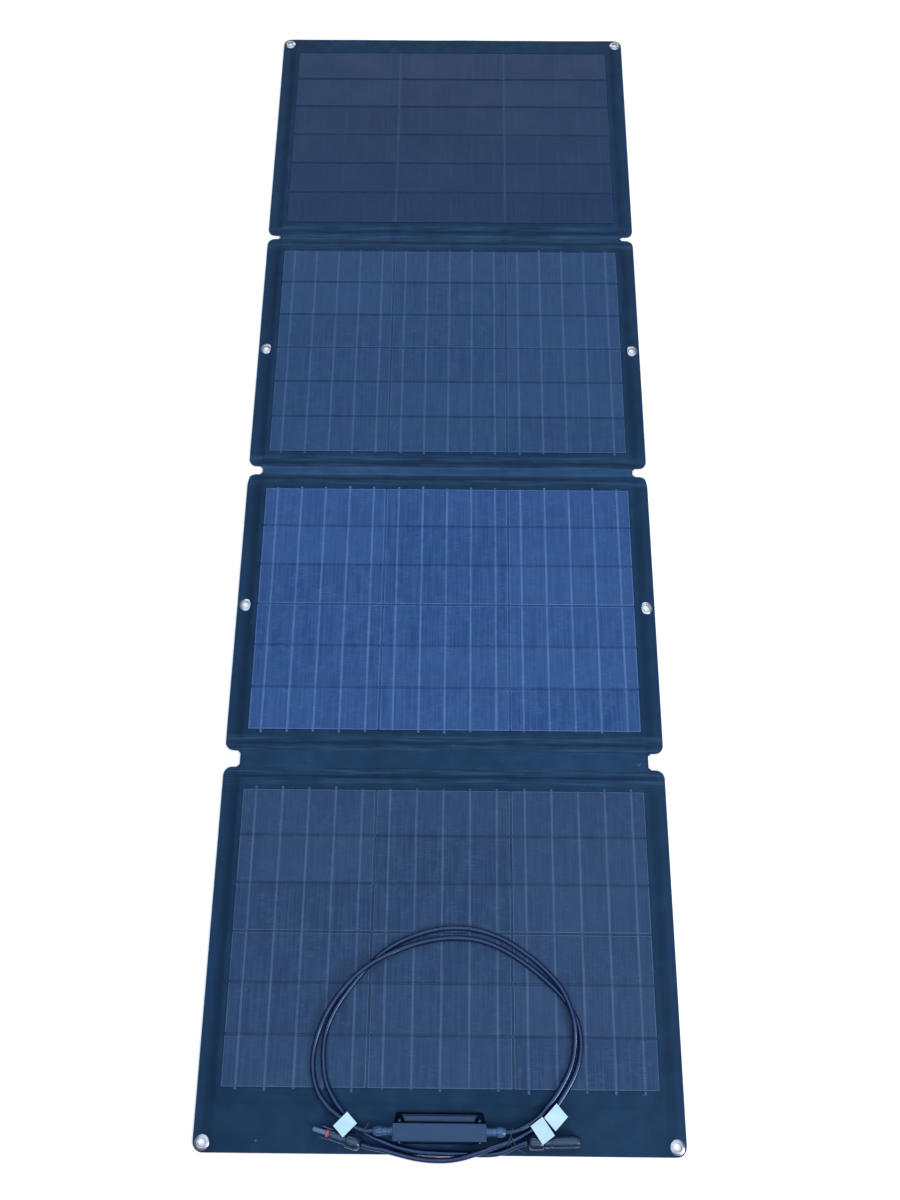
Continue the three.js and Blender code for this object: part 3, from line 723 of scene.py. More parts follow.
moulded = {}
for name, colour, light_colour, rough, bump, specular, wear in (
        # The box's one black plastic in two copies: a paler, bluer one as painted reflection of the
        # sky, a darker one as painted shade
        ("box_plastic", (9, 25, 56), (13, 31, 64), 0.22, 0.002 * mm, 0.6, 0.2),
        ("base_plastic", (5, 9, 28), (8, 13, 34), 0.4, 0.002 * mm, 0.12, 0.2),
        ("gland_plastic", (40, 62, 96), (50, 74, 110), 0.26, 0.003 * mm, 0.7, 0.2),
        ("connector_plastic", (9, 17, 38), (14, 24, 48), 0.22, 0.003 * mm, 0.85, 0.2),
        ("sleeve_plastic", (66, 88, 118), (78, 100, 132), 0.3, 0.003 * mm, 0.6, 0.2),
        ("lead_jacket", (6, 14, 42), (10, 19, 50), 0.2, 0.002 * mm, 0.8, 0.1),
        ("black_rubber", (22, 23, 26), (30, 31, 34), 0.7, 0.03 * mm, 0.5, 0.2),
        ("red_seal", (138, 56, 66), (158, 74, 82), 0.45, 0.02 * mm, 0.5, 0.2),
        ("board", (44, 46, 50), (52, 54, 58), 0.6, 0.03 * mm, 0.5, 0.2),
        ("circuit_board", (24, 84, 52), (30, 96, 60), 0.45, 0.01 * mm, 0.5, 0.2),
        ("tie_plastic", (30, 36, 52), (46, 54, 72), 0.35, 0.01 * mm, 0.5, 0.2)):
    moulded[name] = moulded_material(
        name, rgb(*colour), rgb(*light_colour), rough, bump, specular, wear)
jacket_shader = moulded["lead_jacket"].node_tree.nodes["Principled BSDF"]
jacket_shader.inputs["Specular Tint"].default_value = (0.34, 0.56, 1, 1)
eyelet_metal = metal_material("eyelet_metal", rgb(158, 164, 176), rgb(118, 124, 138), 0.3)
screw_steel = metal_material("screw_steel", rgb(84, 92, 108), rgb(60, 68, 84), 0.35)
copper = metal_material("copper", rgb(214, 140, 96), rgb(170, 100, 64), 0.35)
print("materials so far:", len(bpy.data.materials))

# %% Blank paper for the tags
paper, nodes, shader, place = new_material("tag_paper", specular=0.35)
fibres = use_group(nodes, "blotches", place, Scale=700.0).outputs[0]
clouds = use_group(nodes, "blotches", place, Scale=90.0).outputs[0]
tone = nodes.mix(nodes.times(clouds, 0.6), rgb(164, 194, 210), rgb(146, 180, 200))
plug_in(nodes, shader, tone, 0.55, fibres, 0.02 * mm)
print("paper:", paper.name)

# %% [markdown]
# ## Front cloth
# One sheet of cloth covers each leaf. It lies flat round the rim, rises softly over the edge
# of the board, and is drawn tight under the cells. It could be draped by a cloth simulation,
# but it is laminated and stretched, so its shape is known. It is made as a woven grid whose
# lines are closer where the cloth bends. Code lifts each point: the ramp over the board,
# creases beside the folds, puckers where flat wires cross, and a pressed rim. The same height
# rule serves the fold cloths, so all of them meet.

# %% Sheet grid
def smooth_step(value):
    value = min(1.0, max(0.0, value))
    return value * value * (3 - 2 * value)


def grid_lines(low, high, step, finer=(), exact=()):
    """Lines from low to high: a coarse step, finer steps in some spans, and exact places."""
    lines = [low]
    while lines[-1] < high:
        here = lines[-1]
        steps = [s for a, b, s in finer if a <= here < b]
        lines.append(min(high, here + (min(steps) if steps else step)))
    keep = [v for v in lines[1:-1] if all(abs(v - e) > 0.6 * mm for e in exact)]
    return sorted({low, high, *keep, *(e for e in exact if low < e < high)})


def woven_sheet(name, columns, rows, open_at=lambda x, y: False):
    """A sheet of quads on these lines, without the quads whose middle is open."""
    used, points, quads = {}, [], []

    def corner(i, j):
        if (i, j) not in used:
            used[i, j] = len(points)
            points.append((columns[i], rows[j], 0.0))
        return used[i, j]

    for j in range(len(rows) - 1):
        for i in range(len(columns) - 1):
            middle = (columns[i] + columns[i + 1]) / 2, (rows[j] + rows[j + 1]) / 2
            if not open_at(*middle):
                ring = ((i, j), (i + 1, j), (i + 1, j + 1), (i, j + 1))
                quads.append([corner(*place) for place in ring])
    mesh = bpy.data.meshes.new(name)
    mesh.from_pydata(points, [], quads)
    obj = bpy.data.objects.new(name, mesh)
    bpy.context.scene.collection.objects.link(obj)
    return obj


# %% Rounded corners and round holes
def round_corner(x, y, leaf):
    """Moves a point of a corner square onto rings round the corner's centre."""
    near = y < (leaf.near + leaf.far) / 2
    radius = leaf.near_corner if near else leaf.far_corner
    across = abs(x) - (half_width - radius)
    along = leaf.near + radius - y if near else y - leaf.far + radius
    if across <= 0 or along <= 0:
        return x, y
    shrink = max(across, along) / math.hypot(across, along)
    x = math.copysign(half_width - radius + across * shrink, x)
    y = leaf.near + radius - along * shrink if near else leaf.far - radius + along * shrink
    return x, y


def round_hole(x, y, leaf, hole):
    """Moves a point of the square round an eyelet onto the eyelet's circle."""
    centre = Vector((math.copysign(leaf.eyelet.x, x), leaf.eyelet.y))
    offset = Vector((x, y)) - centre
    if max(abs(offset.x), abs(offset.y)) > hole + 0.05 * mm:
        return None
    return tuple(centre + offset.normalized() * hole)


# %% Heights of the cloth
ramp_outside, ramp_inside = 5.5 * mm, 2.5 * mm
wave_height, ripple_height = 0.28 * mm, 0.1 * mm
crease_depth, crease_width = 0.3 * mm, 1.5 * mm
rim_line, rim_depth, rim_width = 6 * mm, 0.22 * mm, 1.2 * mm
eyelet_sink, eyelet_rim = 0.2 * mm, 7 * mm
ridge_gain = 1.5
puckers = [
    # across, along, half length, half width and height in mm: ridges pulled up by the
    # stitching, and below zero the dents beside the flat wires
    (-213, -361, 11, 2.6, 0.9), (231, -358, 9, 2.4, 0.7), (-121, -352, 3, 2, 0.5),
    (-86, -372, 13, 4, -0.8), (-78, -354, 12, 3.6, 0.9), (74, -371, 14, 4, -0.8),
    (84, -352, 12, 3.4, 0.9), (-82, 14, 13, 4, -0.7), (-74, 30, 11, 3, 0.8),
    (80, 12, 12, 4, -0.7), (86, 29, 11, 3, 0.8), (-214, 24, 9, 2.2, 0.6),
    (222, 22, 9, 2.4, 0.6), (-80, 393, 12, 3.6, -0.6), (78, 392, 12, 3.6, -0.6),
    (-206, 403, 8, 2, 0.5), (214, 402, 8, 2, 0.5),
]


def outside_distance(x, y, half, near, far, corner):
    """How far a point is outside a rounded rectangle, and less than zero inside it."""
    across = abs(x) - half + corner
    along = abs(y - (near + far) / 2) - (far - near) / 2 + corner
    return math.hypot(max(across, 0), max(along, 0)) + min(max(across, along), 0) - corner


def cloth_height(x, y):
    """The top of the front cloth anywhere on the panel."""
    height = flange_top
    nearest = 1.0
    for leaf in leaves.values():
        near, far = leaf.cells_near - raised_margin, leaf.cells_far + raised_margin
        away = outside_distance(x, y, raised_half, near, far, raised_corner)
        nearest = min(nearest, away)
        lift = smooth_step((ramp_outside - away) / (ramp_outside + ramp_inside))
        height += (raised_top - flange_top) * lift
    free = smooth_step((nearest + 1 * mm) / (8 * mm))
    if free <= 0:
        return height
    height += free * wave_height * noise.noise(Vector((x * 16, y * 16, 0)))
    height += free * ripple_height * noise.noise(Vector((x * 60, y * 60, 3)))
    if abs(x) < fold_half + 3 * mm:
        for line in fold_lines:
            height -= crease_depth * math.exp(-(((y - line) / crease_width) ** 2))
    for px, py, length, width, rise in puckers:
        reach = ((x / mm - px) / length) ** 2 + ((y / mm - py) / width) ** 2
        if reach < 9:
            height += (ridge_gain if rise > 0 else 1) * free * rise * mm * math.exp(-reach)
    rim = min(half_width - abs(x), y - panel_near, panel_far - y)
    height -= rim_depth * math.exp(-(((rim - rim_line) / rim_width) ** 2))
    for leaf in leaves.values():
        if abs(y - leaf.eyelet.y) < 14 * mm:
            gap = math.hypot(abs(x) - leaf.eyelet.x, y - leaf.eyelet.y)
            height -= eyelet_sink * (1 - smooth_step((gap - eyelet_rim) / (5 * mm)))
    return height


# %% One sheet of cloth for a leaf
cloth_wall, cover_hole = 0.9 * mm, 4.9 * mm


def leaf_sheet(name, leaf, hole, fine):
    """A leaf's outline as a flat sheet with its two eyelet holes."""
    steps = [v * hole for v in (-1, -0.5, 0, 0.5, 1)]
    eyelet_lines = [side * leaf.eyelet.x + v for side in (-1, 1) for v in steps]
    at_wires = [(side * wire_x - 14 * mm, side * wire_x + 14 * mm, fine) for side in (-1, 1)]
    rim = half_width - raised_half + 8 * mm
    at_rims = [(-half_width, -half_width + rim, fine), (half_width - rim, half_width, fine)]
    columns = grid_lines(-half_width, half_width, 2.4 * fine, at_wires + at_rims, eyelet_lines)
    past_cells = 8 * mm
    at_ends = [(leaf.near, leaf.cells_near - past_cells, fine),
               (leaf.cells_far + past_cells, leaf.far, fine)]
    at_eyelet = [(leaf.eyelet.y - 12 * mm, leaf.eyelet.y + 12 * mm, fine)]
    rows = grid_lines(leaf.near, leaf.far, 4.5 * fine, at_ends + at_eyelet,
                      [leaf.eyelet.y + v for v in steps])

    def open_at(x, y):
        return max(abs(abs(x) - leaf.eyelet.x), abs(y - leaf.eyelet.y)) < hole

    obj = woven_sheet(name, columns, rows, open_at)
    for vertex in obj.data.vertices:
        x, y = vertex.co.x, vertex.co.y
        vertex.co.xy = round_hole(x, y, leaf, hole) or round_corner(x, y, leaf)
    return obj


for number, leaf in leaves.items():
    cover = leaf_sheet(f"front_cloth_{number}", leaf, cover_hole, 2.5 * mm)
    for vertex in cover.data.vertices:
        vertex.co.z = cloth_height(vertex.co.x, vertex.co.y)
    add_modifier(cover, "SOLIDIFY", thickness=cloth_wall, offset=-1)
    finish_piece(cover, leaf.body, cloths["front_cloth"], [f"front_cover_{number}"])

# %% [markdown]
# ## Back cloth
# The back is a second sheet, heavier and nearly black-blue, which lies on the ground. It only
# has to be flat, with the leaf's outline and holes for the eyelets' backs. A narrow pressed
# line follows its rim.

# %% Back cloth of each leaf
back_wall, back_top = 0.85 * mm, 0.9 * mm
back_hole = 8.3 * mm
for number, leaf in leaves.items():
    back = leaf_sheet(f"back_cloth_{number}", leaf, back_hole, 5 * mm)
    for vertex in back.data.vertices:
        x, y = vertex.co.x, vertex.co.y
        rim = min(half_width - abs(x), y - leaf.near, leaf.far - y)
        pressed = math.exp(-(((rim - rim_line) / (2 * mm)) ** 2))
        vertex.co.z = back_top - 0.03 * mm * pressed
    add_modifier(back, "SOLIDIFY", thickness=back_wall, offset=-1)
    finish_piece(back, leaf.body, cloths["back_cloth"], [f"back_fabric_{number}"])

# %% [markdown]
# ## Fold cloth
# Between two leaves a strip of the same cloth makes the fold. When the panel is put away the
# strip bends along both of its edges. A piece can bend across one joint only, so each strip
# is made as two halves that meet in the middle; neither half is hung on a body here. The strip
# is narrower than the leaves and flares out to them in small fillets. Two flat wires run
# through it in raised channels, beside the puckers.

# %% Fold halves
flare_width, flare_length, flare_reach = 3.4 * mm, 3.5 * mm, 12 * mm
fold_wall, longest_bend = 1.1 * mm, 8 * mm
channel_rise, channel_flat, channel_slope = 0.55 * mm, 2.6 * mm, 3.4 * mm


def fold_sheet(name, near, far, edge):
    """Half of a fold between two rows; edge is the row where it meets its leaf."""
    at_wires = [(side * wire_x - 16 * mm, side * wire_x + 16 * mm, 2 * mm) for side in (-1, 1)]
    fine_end = fold_half - 36 * mm
    at_ends = [(-fold_half, -fine_end, 2 * mm), (fine_end, fold_half, 2 * mm)]
    columns = grid_lines(-fold_half, fold_half, 5 * mm, at_wires + at_ends)
    obj = woven_sheet(name, columns, grid_lines(near, far, 1.2 * mm))
    for vertex in obj.data.vertices:
        x, y = vertex.co.x, vertex.co.y
        vertex.co.z = cloth_height(x, y) + channel_height(x)
        flare = flare_width * (1 - smooth_step(abs(y - edge) / flare_length))
        at_end = smooth_step((abs(x) - fold_half + flare_reach) / flare_reach)
        vertex.co.x = x + math.copysign(flare, x) * at_end
    return obj


def channel_height(x):
    """How far the channel over a flat wire stands up."""
    away = abs(abs(x) - wire_x)
    return channel_rise * (1 - smooth_step((away - channel_flat) / channel_slope))


for nearer, farther in ((4, 3), (3, 2), (2, 1)):
    near, far = leaves[nearer].far, leaves[farther].near
    middle = (near + far) / 2
    reach = min(longest_bend, middle - near)
    body = f"fold_{farther}"
    halves = [
        ("near", near, middle, near, (leaves[nearer].body, body), (near, near + reach)),
        ("far", middle, far, far, (body, leaves[farther].body), (far - reach, far)),
    ]
    for side, low, high, edge, pair, bend in halves:
        half = fold_sheet(f"fold_cloth_{farther}_{side}", low, high, edge)
        add_modifier(half, "SOLIDIFY", thickness=fold_wall, offset=-1)
        # The middle fold takes the paler copy of the fold cloth as painted sheen
        cloth = cloths["worn_fold_cloth" if farther == 2 else "fold_cloth"]
        finish_piece(half, None, cloth, [f"fold_fabric_{farther}"])
        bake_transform(half)

# %% [markdown]
# ## Cells
# A square wafer is cut into three, and each leaf carries six wafers: three across and two
# along. One third is a thin plate with softened edges and an inset border. Three thirds in a
# row make a wafer, and only the borders on its outside get the paler finish, because the cut
# edges have none. Arrays repeat the wafer over the leaf, and a backing shows in the gaps.

# %% One wafer in three pieces
cell_bottom, cell_top = raised_top - 0.15 * mm, raised_top + 0.16 * mm
border = 0.9 * mm


def cells(number, leaf):
    low = (-cells_half, leaf.cells_near, cell_bottom)
    high = (-cells_half + wafer, leaf.cells_near + cell_length, cell_top)
    obj = block(f"cells_{number}", low, high)
    bpy.ops.object.mode_set(mode="EDIT")
    pick(obj, "EDGE", lambda e: abs(e.verts[0].co.z - e.verts[1].co.z) > 0.1 * mm)
    bpy.ops.mesh.bevel(offset=0.8 * mm, segments=2)
    pick(obj, "FACE", lambda f: f.normal.z > 0.9)
    bpy.ops.mesh.inset(thickness=0.12 * mm, depth=0)
    bpy.ops.transform.translate(value=(0, 0, 0.03 * mm))
    bpy.ops.mesh.inset(thickness=border, depth=0)
    bpy.ops.object.mode_set(mode="OBJECT")
    array = {"use_relative_offset": False, "use_constant_offset": True}
    add_modifier(obj, "ARRAY", count=3, constant_offset_displace=(0, cell_step, 0), **array)
    return obj, array


def paint_borders(obj, leaf):
    """Gives the pale border finish to the faces along the outside of the wafer."""
    finish = cell_finishes[leaf.number]
    obj.data.materials.append(finish.face)
    obj.data.materials.append(finish.border)
    inner = border + 0.2 * mm
    near, far = leaf.cells_near + inner, leaf.cells_near + 2 * cell_step + cell_length - inner
    for face in obj.data.polygons:
        outside = abs(face.center.x + cells_half - wafer / 2) > wafer / 2 - inner
        outside = outside or face.center.y < near or face.center.y > far
        face.material_index = int(outside and face.normal.z > 0.5)


for number, leaf in leaves.items():
    plate, array = cells(number, leaf)
    paint_borders(plate, leaf)
    add_modifier(plate, "ARRAY", count=3, constant_offset_displace=(column_step, 0, 0), **array)
    add_modifier(plate, "ARRAY", count=2, constant_offset_displace=(0, 3 * cell_step, 0), **array)
    finish_piece(plate, leaf.body, None, [f"cell_sheet_{number}"])
    reach = cells_half - 0.5 * mm
    backing = block(f"cell_backing_{number}",
                    (-reach, leaf.cells_near + 0.5 * mm, cell_bottom),
                    (reach, leaf.cells_far - 0.5 * mm, cell_top - 0.08 * mm))
    soften(backing, 0.03 * mm, 1)
    finish_piece(backing, leaf.body, cell_finishes[number].backing)

# %% [markdown]
# ## Ribbons
# Five tinned ribbons run the length of each column of cells and carry the current. They
# stick out a few millimetres past the cells at both ends, each by its own amount, because
# they were cut by hand. Each is one thin strip with softened edges.

# %% Ribbons of each leaf
ribbon_width = 2.7 * mm
hand_cut = random.Random(7)
for number, leaf in leaves.items():
    strips = []
    for column in range(3):
        for strip in range(5):
            x = -cells_half + column * column_step + (0.1 + 0.2 * strip) * wafer
            near = leaf.cells_near - hand_cut.uniform(0.3, 4.5) * mm
            far = leaf.cells_far + hand_cut.uniform(0.3, 4) * mm
            low = (x - ribbon_width / 2, near, cell_top - 0.08 * mm)
            high = (x + ribbon_width / 2, far, cell_top + 0.1 * mm)
            strips.append(block(f"ribbon_{strip}", low, high))
    ribbons = join(f"ribbons_{number}", strips)
    soften(ribbons, 0.05 * mm, 1, 60)
    finish_piece(ribbons, leaf.body, cell_finishes[number].ribbon)

# %% [markdown]
# ## Eyelets
# An eyelet is a tube rolled over on both faces of the cloth. Its section is drawn point by
# point from one vertex and spun round the hole, which gives the rolled bead, the sloping rim
# and the washer below in one closed ring. It is turned once and copied to the other holes.

# %% Turning a section
def turned(name, section, steps):
    """Spins a section of (radius, height) points in mm round Z, as on a lathe."""
    obj = start(name, bpy.ops.mesh.primitive_plane_add, size=1 * mm)
    bpy.ops.object.mode_set(mode="EDIT")
    bpy.ops.mesh.select_mode(type="VERT")
    bpy.ops.mesh.merge(type="CENTER")
    bpy.ops.mesh.select_all(action="SELECT")
    here = Vector((0, 0, 0))
    for radius, height in section:
        there = Vector((radius * mm, 0, height * mm))
        if here.length:
            bpy.ops.mesh.extrude_vertices_move(TRANSFORM_OT_translate={"value": there - here})
        else:
            bpy.ops.transform.translate(value=there)
        here = there
    bpy.ops.mesh.select_all(action="SELECT")
    bpy.ops.mesh.spin(steps=steps, angle=math.tau, center=(0, 0, 0), axis=(0, 0, 1))
    bpy.ops.mesh.select_all(action="SELECT")
    bpy.ops.mesh.remove_doubles(threshold=0.01 * mm)
    bpy.ops.mesh.normals_make_consistent(inside=False)
    bpy.ops.object.mode_set(mode="OBJECT")
    return obj


def copy_of(obj, name):
    twin = obj.copy()
    twin.data = obj.data.copy()
    twin.name = twin.data.name = name
    bpy.context.scene.collection.objects.link(twin)
    return twin


# %% Eyelets in their holes
eyelet_section = [
    (4, 0.5), (4, 2.5), (4.12, 2.88), (4.45, 3.08), (4.95, 3.1), (5.5, 2.98), (6.2, 2.72),
    (7.1, 2.42), (7.7, 2.18), (7.98, 1.98), (7.96, 1.84), (7.7, 1.76), (4.6, 1.76),
    (4.6, 0.72), (7.7, 0.72), (7.98, 0.6), (7.98, 0.3), (7.6, 0.08), (6, 0), (4.6, 0.04),
    (4.15, 0.2), (4, 0.5),
]
first_eyelet = turned("eyelet", eyelet_section, 48)
for number, leaf in leaves.items():
    for side, sign in (("left", -1), ("right", 1)):
        ring = copy_of(first_eyelet, f"rolled_eyelet_{number}_{side}")
        ring.location = (sign * leaf.eyelet.x, leaf.eyelet.y, 0)
        nodes_here = [f"eyelet_{number}_{side}"]
        finish_piece(ring, leaf.body, eyelet_metal, nodes_here, smooth=50)
bpy.data.objects.remove(first_eyelet)

# %% [markdown]
# ## Junction box
# The box joins the cells' wires to the leads. Its base has a wide sloping shoulder on the far
# side, with a raised pad, and a low one on the near side, and four round lugs for the screws.
# The lid is a long shallow cap with crisp edges. Real lids carry moulded lettering, which is
# left off. The shoulders start as blocks, and their tops are pulled in to make the slopes.

# %% Base with its shoulders
box_y = -755.7 * mm
box_half, box_depth = 49.5 * mm, 8.7 * mm
box_bottom, box_split, lid_bottom, box_top = 2.1 * mm, 11.4 * mm, 12 * mm, 18 * mm
screw_places = [(x * 42.5 * mm, box_y + y * 10.2 * mm) for x in (-1, 1) for y in (-1, 1)]


def box_block(name, half, depth, bottom, top, middle=0.0):
    low = (-half, box_y + middle - depth, bottom)
    return block(name, low, (half, box_y + middle + depth, top))


def slope_block(name, side, reach, height, foot, flat, set_back):
    """A block beside the box whose outer and upper corners are pulled in."""
    obj = box_block(name, foot[0], reach / 2, box_bottom, box_bottom + height,
                    side * (box_depth + reach / 2 - 0.3 * mm))
    outer_y = box_y + side * (box_depth + reach / 2)
    for vertex in obj.data.vertices:
        outside = (vertex.co.y - outer_y) * side > 0
        upper = vertex.co.z > box_bottom + height / 2
        width = (flat if upper else foot)[1 if outside else 0]
        vertex.co.x = math.copysign(width, vertex.co.x)
        if upper and outside:
            vertex.co.y -= side * set_back
    soften(obj, 0.7 * mm, 3)
    return obj


base = box_block("base", box_half, box_depth, box_bottom, box_split)
soften(base, 0.5 * mm)
far_shoulder = slope_block(
    "far_shoulder", 1, 9.6 * mm, 7 * mm, (49.3 * mm, 46.8 * mm), (37 * mm, 40.5 * mm), 1.5 * mm)
near_shoulder = slope_block(
    "near_shoulder", -1, 4.7 * mm, 4.4 * mm, (46 * mm, 38 * mm), (36 * mm, 33 * mm), 1.5 * mm)
select_only(far_shoulder)
bpy.ops.object.mode_set(mode="EDIT")
pick(far_shoulder, "FACE", lambda f: f.normal.z > 0.99)
bpy.ops.mesh.inset(thickness=0.9 * mm, depth=-0.5 * mm)
bpy.ops.mesh.inset(thickness=0.5 * mm, depth=0)
bpy.ops.mesh.inset(thickness=0.1 * mm, depth=0.35 * mm)
bpy.ops.object.mode_set(mode="OBJECT")
lug_section = [(0, 0), (1.9, 0), (1.9, 8.2), (1.65, 8.5), (0, 8.5)]
lugs = []
for x, y in screw_places:
    lug = turned("lug", lug_section, 24)
    lug.location = (x, y, box_bottom)
    lugs.append(lug)
box_base = join("box_base_shell", [base, far_shoulder, near_shoulder, *lugs])
for name in ("base_plastic", "box_plastic"):
    box_base.data.materials.append(moulded[name])
pad_y = box_y + box_depth
# Upward faces of the far pad take the paler copy as painted reflection; all other faces the darker
# copy as painted shade
for face in box_base.data.polygons:
    face.material_index = int(face.center.y > pad_y and face.normal.z > 0.9)
finish_piece(box_base, "leaf_4", None, ["box_base"], smooth=30)

# %% Lid
lid = box_block("box_lid_cap", box_half, box_depth, lid_bottom, box_top)
bpy.ops.object.mode_set(mode="EDIT")
pick(lid, "FACE", lambda f: f.normal.z < -0.99)
bpy.ops.mesh.inset(thickness=1.2 * mm, depth=-0.5 * mm)
bpy.ops.object.mode_set(mode="OBJECT")
soften(lid, 0.5 * mm, 3)
# The whole lid takes the paler copy of the box plastic: painted reflection of the sky
finish_piece(lid, "leaf_4", moulded["box_plastic"], ["box_lid"], smooth=30)

# %% [markdown]
# ## Lid screws
# Four small cross-head screws sit on lugs beside the lid and clamp its lip. One is turned with
# a rounded head and a cross is cut into it, and the others are copies.

# %% Screws
screw_section = [(0, 9), (0.7, 9), (0.7, 10.6), (1.25, 10.65), (1.3, 10.9), (1.2, 11.5),
                 (0.8, 11.9), (0, 12.1)]
first_screw = turned("screw", screw_section, 28)
for half_x, half_y in ((0.85, 0.18), (0.18, 0.85)):
    half_x, half_y = half_x * mm, half_y * mm
    slot = block("slot", (-half_x, -half_y, 11.4 * mm), (half_x, half_y, 13 * mm))
    cut(first_screw, slot)
for i, (x, y) in enumerate(screw_places):
    screw = copy_of(first_screw, f"cross_screw_{i + 1}")
    screw.location = (x, y, 0)
    finish_piece(screw, "leaf_4", screw_steel, [f"lid_screw_{i + 1}"])
bpy.data.objects.remove(first_screw)

# %% [markdown]
# ## Glands
# Each lead leaves the box through a gland: a neck with a collar against the wall, and a nut
# that squeezes a seal round the cable. The nut has grip flats, made by pressing in every
# other strip of its side, and a rounded mouth.

# %% Turned pieces along an axis
def aimed(obj, place, direction):
    """Turns a piece made along Z so that it starts at a place and runs along a direction."""
    turn = Vector((0, 0, 1)).rotation_difference(Vector(direction))
    obj.matrix_world = Matrix.Translation(place) @ turn.to_matrix().to_4x4()
    select_only(obj)
    bpy.ops.object.transform_apply(location=True, rotation=True, scale=True)
    return obj


def grip(obj, low, high, steps, every, depth):
    """Presses in strips of the side between two heights, as grip flutes."""
    select_only(obj)
    bpy.ops.object.mode_set(mode="EDIT")

    def in_flute(face):
        middle = face.calc_center_median()
        turn = math.atan2(middle.y, middle.x) / math.tau * steps
        side = abs(face.normal.z) < 0.5 and low < middle.z < high
        return side and math.floor(turn + 1e-6) % every == 0

    pick(obj, "FACE", in_flute)
    bpy.ops.mesh.inset(thickness=0.12 * mm, depth=0)
    bpy.ops.transform.shrink_fatten(value=-depth)
    bpy.ops.object.mode_set(mode="OBJECT")


gland_z, neck_start, nut_start = 10.3 * mm, 49.8 * mm, 60.6 * mm
neck_section = [(0, -0.5), (5.2, -0.5), (5.2, 1.3), (4.9, 1.6), (4.3, 1.7), (4.3, 4.4), (4.0, 4.7),
                (4.0, 5.6), (4.3, 5.9), (4.3, 10.7), (0, 10.7)]
nut_section = [(0, 0), (4.8, 0), (5.2, 0.5), (5.2, 5.4), (4.9, 6.9), (4.3, 8.6), (3.7, 9.7),
               (3.1, 9.9), (2.95, 9.2), (2.95, 6), (0, 6)]
for side, sign in (("left", -1), ("right", 1)):
    neck = turned(f"gland_neck_{side}", neck_section, 36)
    aimed(neck, (sign * neck_start, box_y, gland_z), (sign, 0, 0))
    finish_piece(neck, "leaf_4", moulded["gland_plastic"], [f"gland_body_{side}"])
    nut = turned(f"gland_cap_{side}", nut_section, 36)
    grip(nut, 0.4 * mm, 5.4 * mm, 36, 3, 0.3 * mm)
    aimed(nut, (sign * nut_start, box_y, gland_z), (sign, 0, 0))
    finish_piece(nut, "leaf_4", moulded["gland_plastic"], [f"gland_nut_{side}"])

# %% [markdown]
# ## Connectors
# The two leads end in a pair of round connectors that click together. Each has a fluted nut
# that clamps the cable. The plug has a slim sleeve round its pin, a red seal behind it and
# two springy latch arms. The socket is a tube with a window on each side for the latches.
# They are modelled along Z with their details and then laid down along their leads.

# %% Fluted clamp nuts
connector_z = 9.7 * mm


class Connector:
    """Where a connector starts and which way it points, on the floor plan in mm."""

    def __init__(self, begin, tip):
        self.start = Vector((begin[0] * mm, begin[1] * mm, connector_z))
        self.direction = Vector((tip[0] * mm, tip[1] * mm, connector_z)) - self.start
        self.direction.normalize()
        # the arms and windows lie level: their side axis is square to Z and the connector
        self.frame = Matrix((
            self.direction.cross(Vector((0, 0, 1))), Vector((0, 0, 1)), self.direction)).transposed()

    def place(self, obj):
        obj.matrix_world = Matrix.Translation(self.start) @ self.frame.to_4x4()
        select_only(obj)
        bpy.ops.object.transform_apply(location=True, rotation=True, scale=True)
        return obj


plug = Connector((-83, -768.9), (-134.3, -753.9))
socket = Connector((93.6, -765.5), (147.9, -764))
clamp_section = [(2.95, 0.6), (4.3, 0.2), (5.2, 0.5), (6.5, 1.6), (7.15, 3.2), (7.5, 5), (7.5, 15.4),
                 (7.2, 16), (6.6, 16.4), (4.5, 16.4), (2.95, 16.4), (2.95, 0.6)]
for name, connector in (("plug", plug), ("socket", socket)):
    clamp = turned(f"{name}_clamp_nut", clamp_section, 48)
    grip(clamp, 5.2 * mm, 15.2 * mm, 48, 3, 0.45 * mm)
    connector.place(clamp)
    finish_piece(clamp, "leaf_4", moulded["connector_plastic"], [f"{name}_nut"])

# %% Plug with its sleeve, seal and latch arms
plug_section = [
    (0, 16.8), (6, 16.8), (6, 18), (5.6, 18.3), (5.6, 19.4), (6, 19.7), (6, 29.6), (5.9, 31),
    (5.6, 32.4), (5.2, 34.4), (4.6, 34.6), (0, 34.6),
]
shell = turned("plug_shell", plug_section, 40)
arms = [shell]
for sign in (-1, 1):
    inner, outer = sorted((sign * 4.7 * mm, sign * 5.8 * mm))
    arm = block("arm", (inner, -1.8 * mm, 27 * mm), (outer, 1.8 * mm, 44.4 * mm))
    bpy.ops.object.mode_set(mode="EDIT")
    pick(arm, "FACE", lambda f: f.normal.z > 0.9)
    bpy.ops.mesh.inset(thickness=0.2 * mm, depth=0)
    bpy.ops.mesh.extrude_region_move()
    bpy.ops.transform.translate(value=(0, 0, -0.4 * mm))
    bpy.ops.object.mode_set(mode="OBJECT")
    soften(arm, 0.3 * mm)
    hook_in, hook_out = sorted((sign * 4.9 * mm, sign * 6.5 * mm))
    hook = block("hook", (hook_in, -1.6 * mm, 40.6 * mm), (hook_out, 1.6 * mm, 43.4 * mm))
    for vertex in hook.data.vertices:
        if vertex.co.z > 42 * mm and abs(vertex.co.x) > 6 * mm:
            vertex.co.x = sign * 5.7 * mm
    soften(hook, 0.25 * mm)
    arms += [arm, hook]
plug_shell = plug.place(join("plug_shell", arms))
finish_piece(plug_shell, "leaf_4", moulded["connector_plastic"], ["plug_body"])
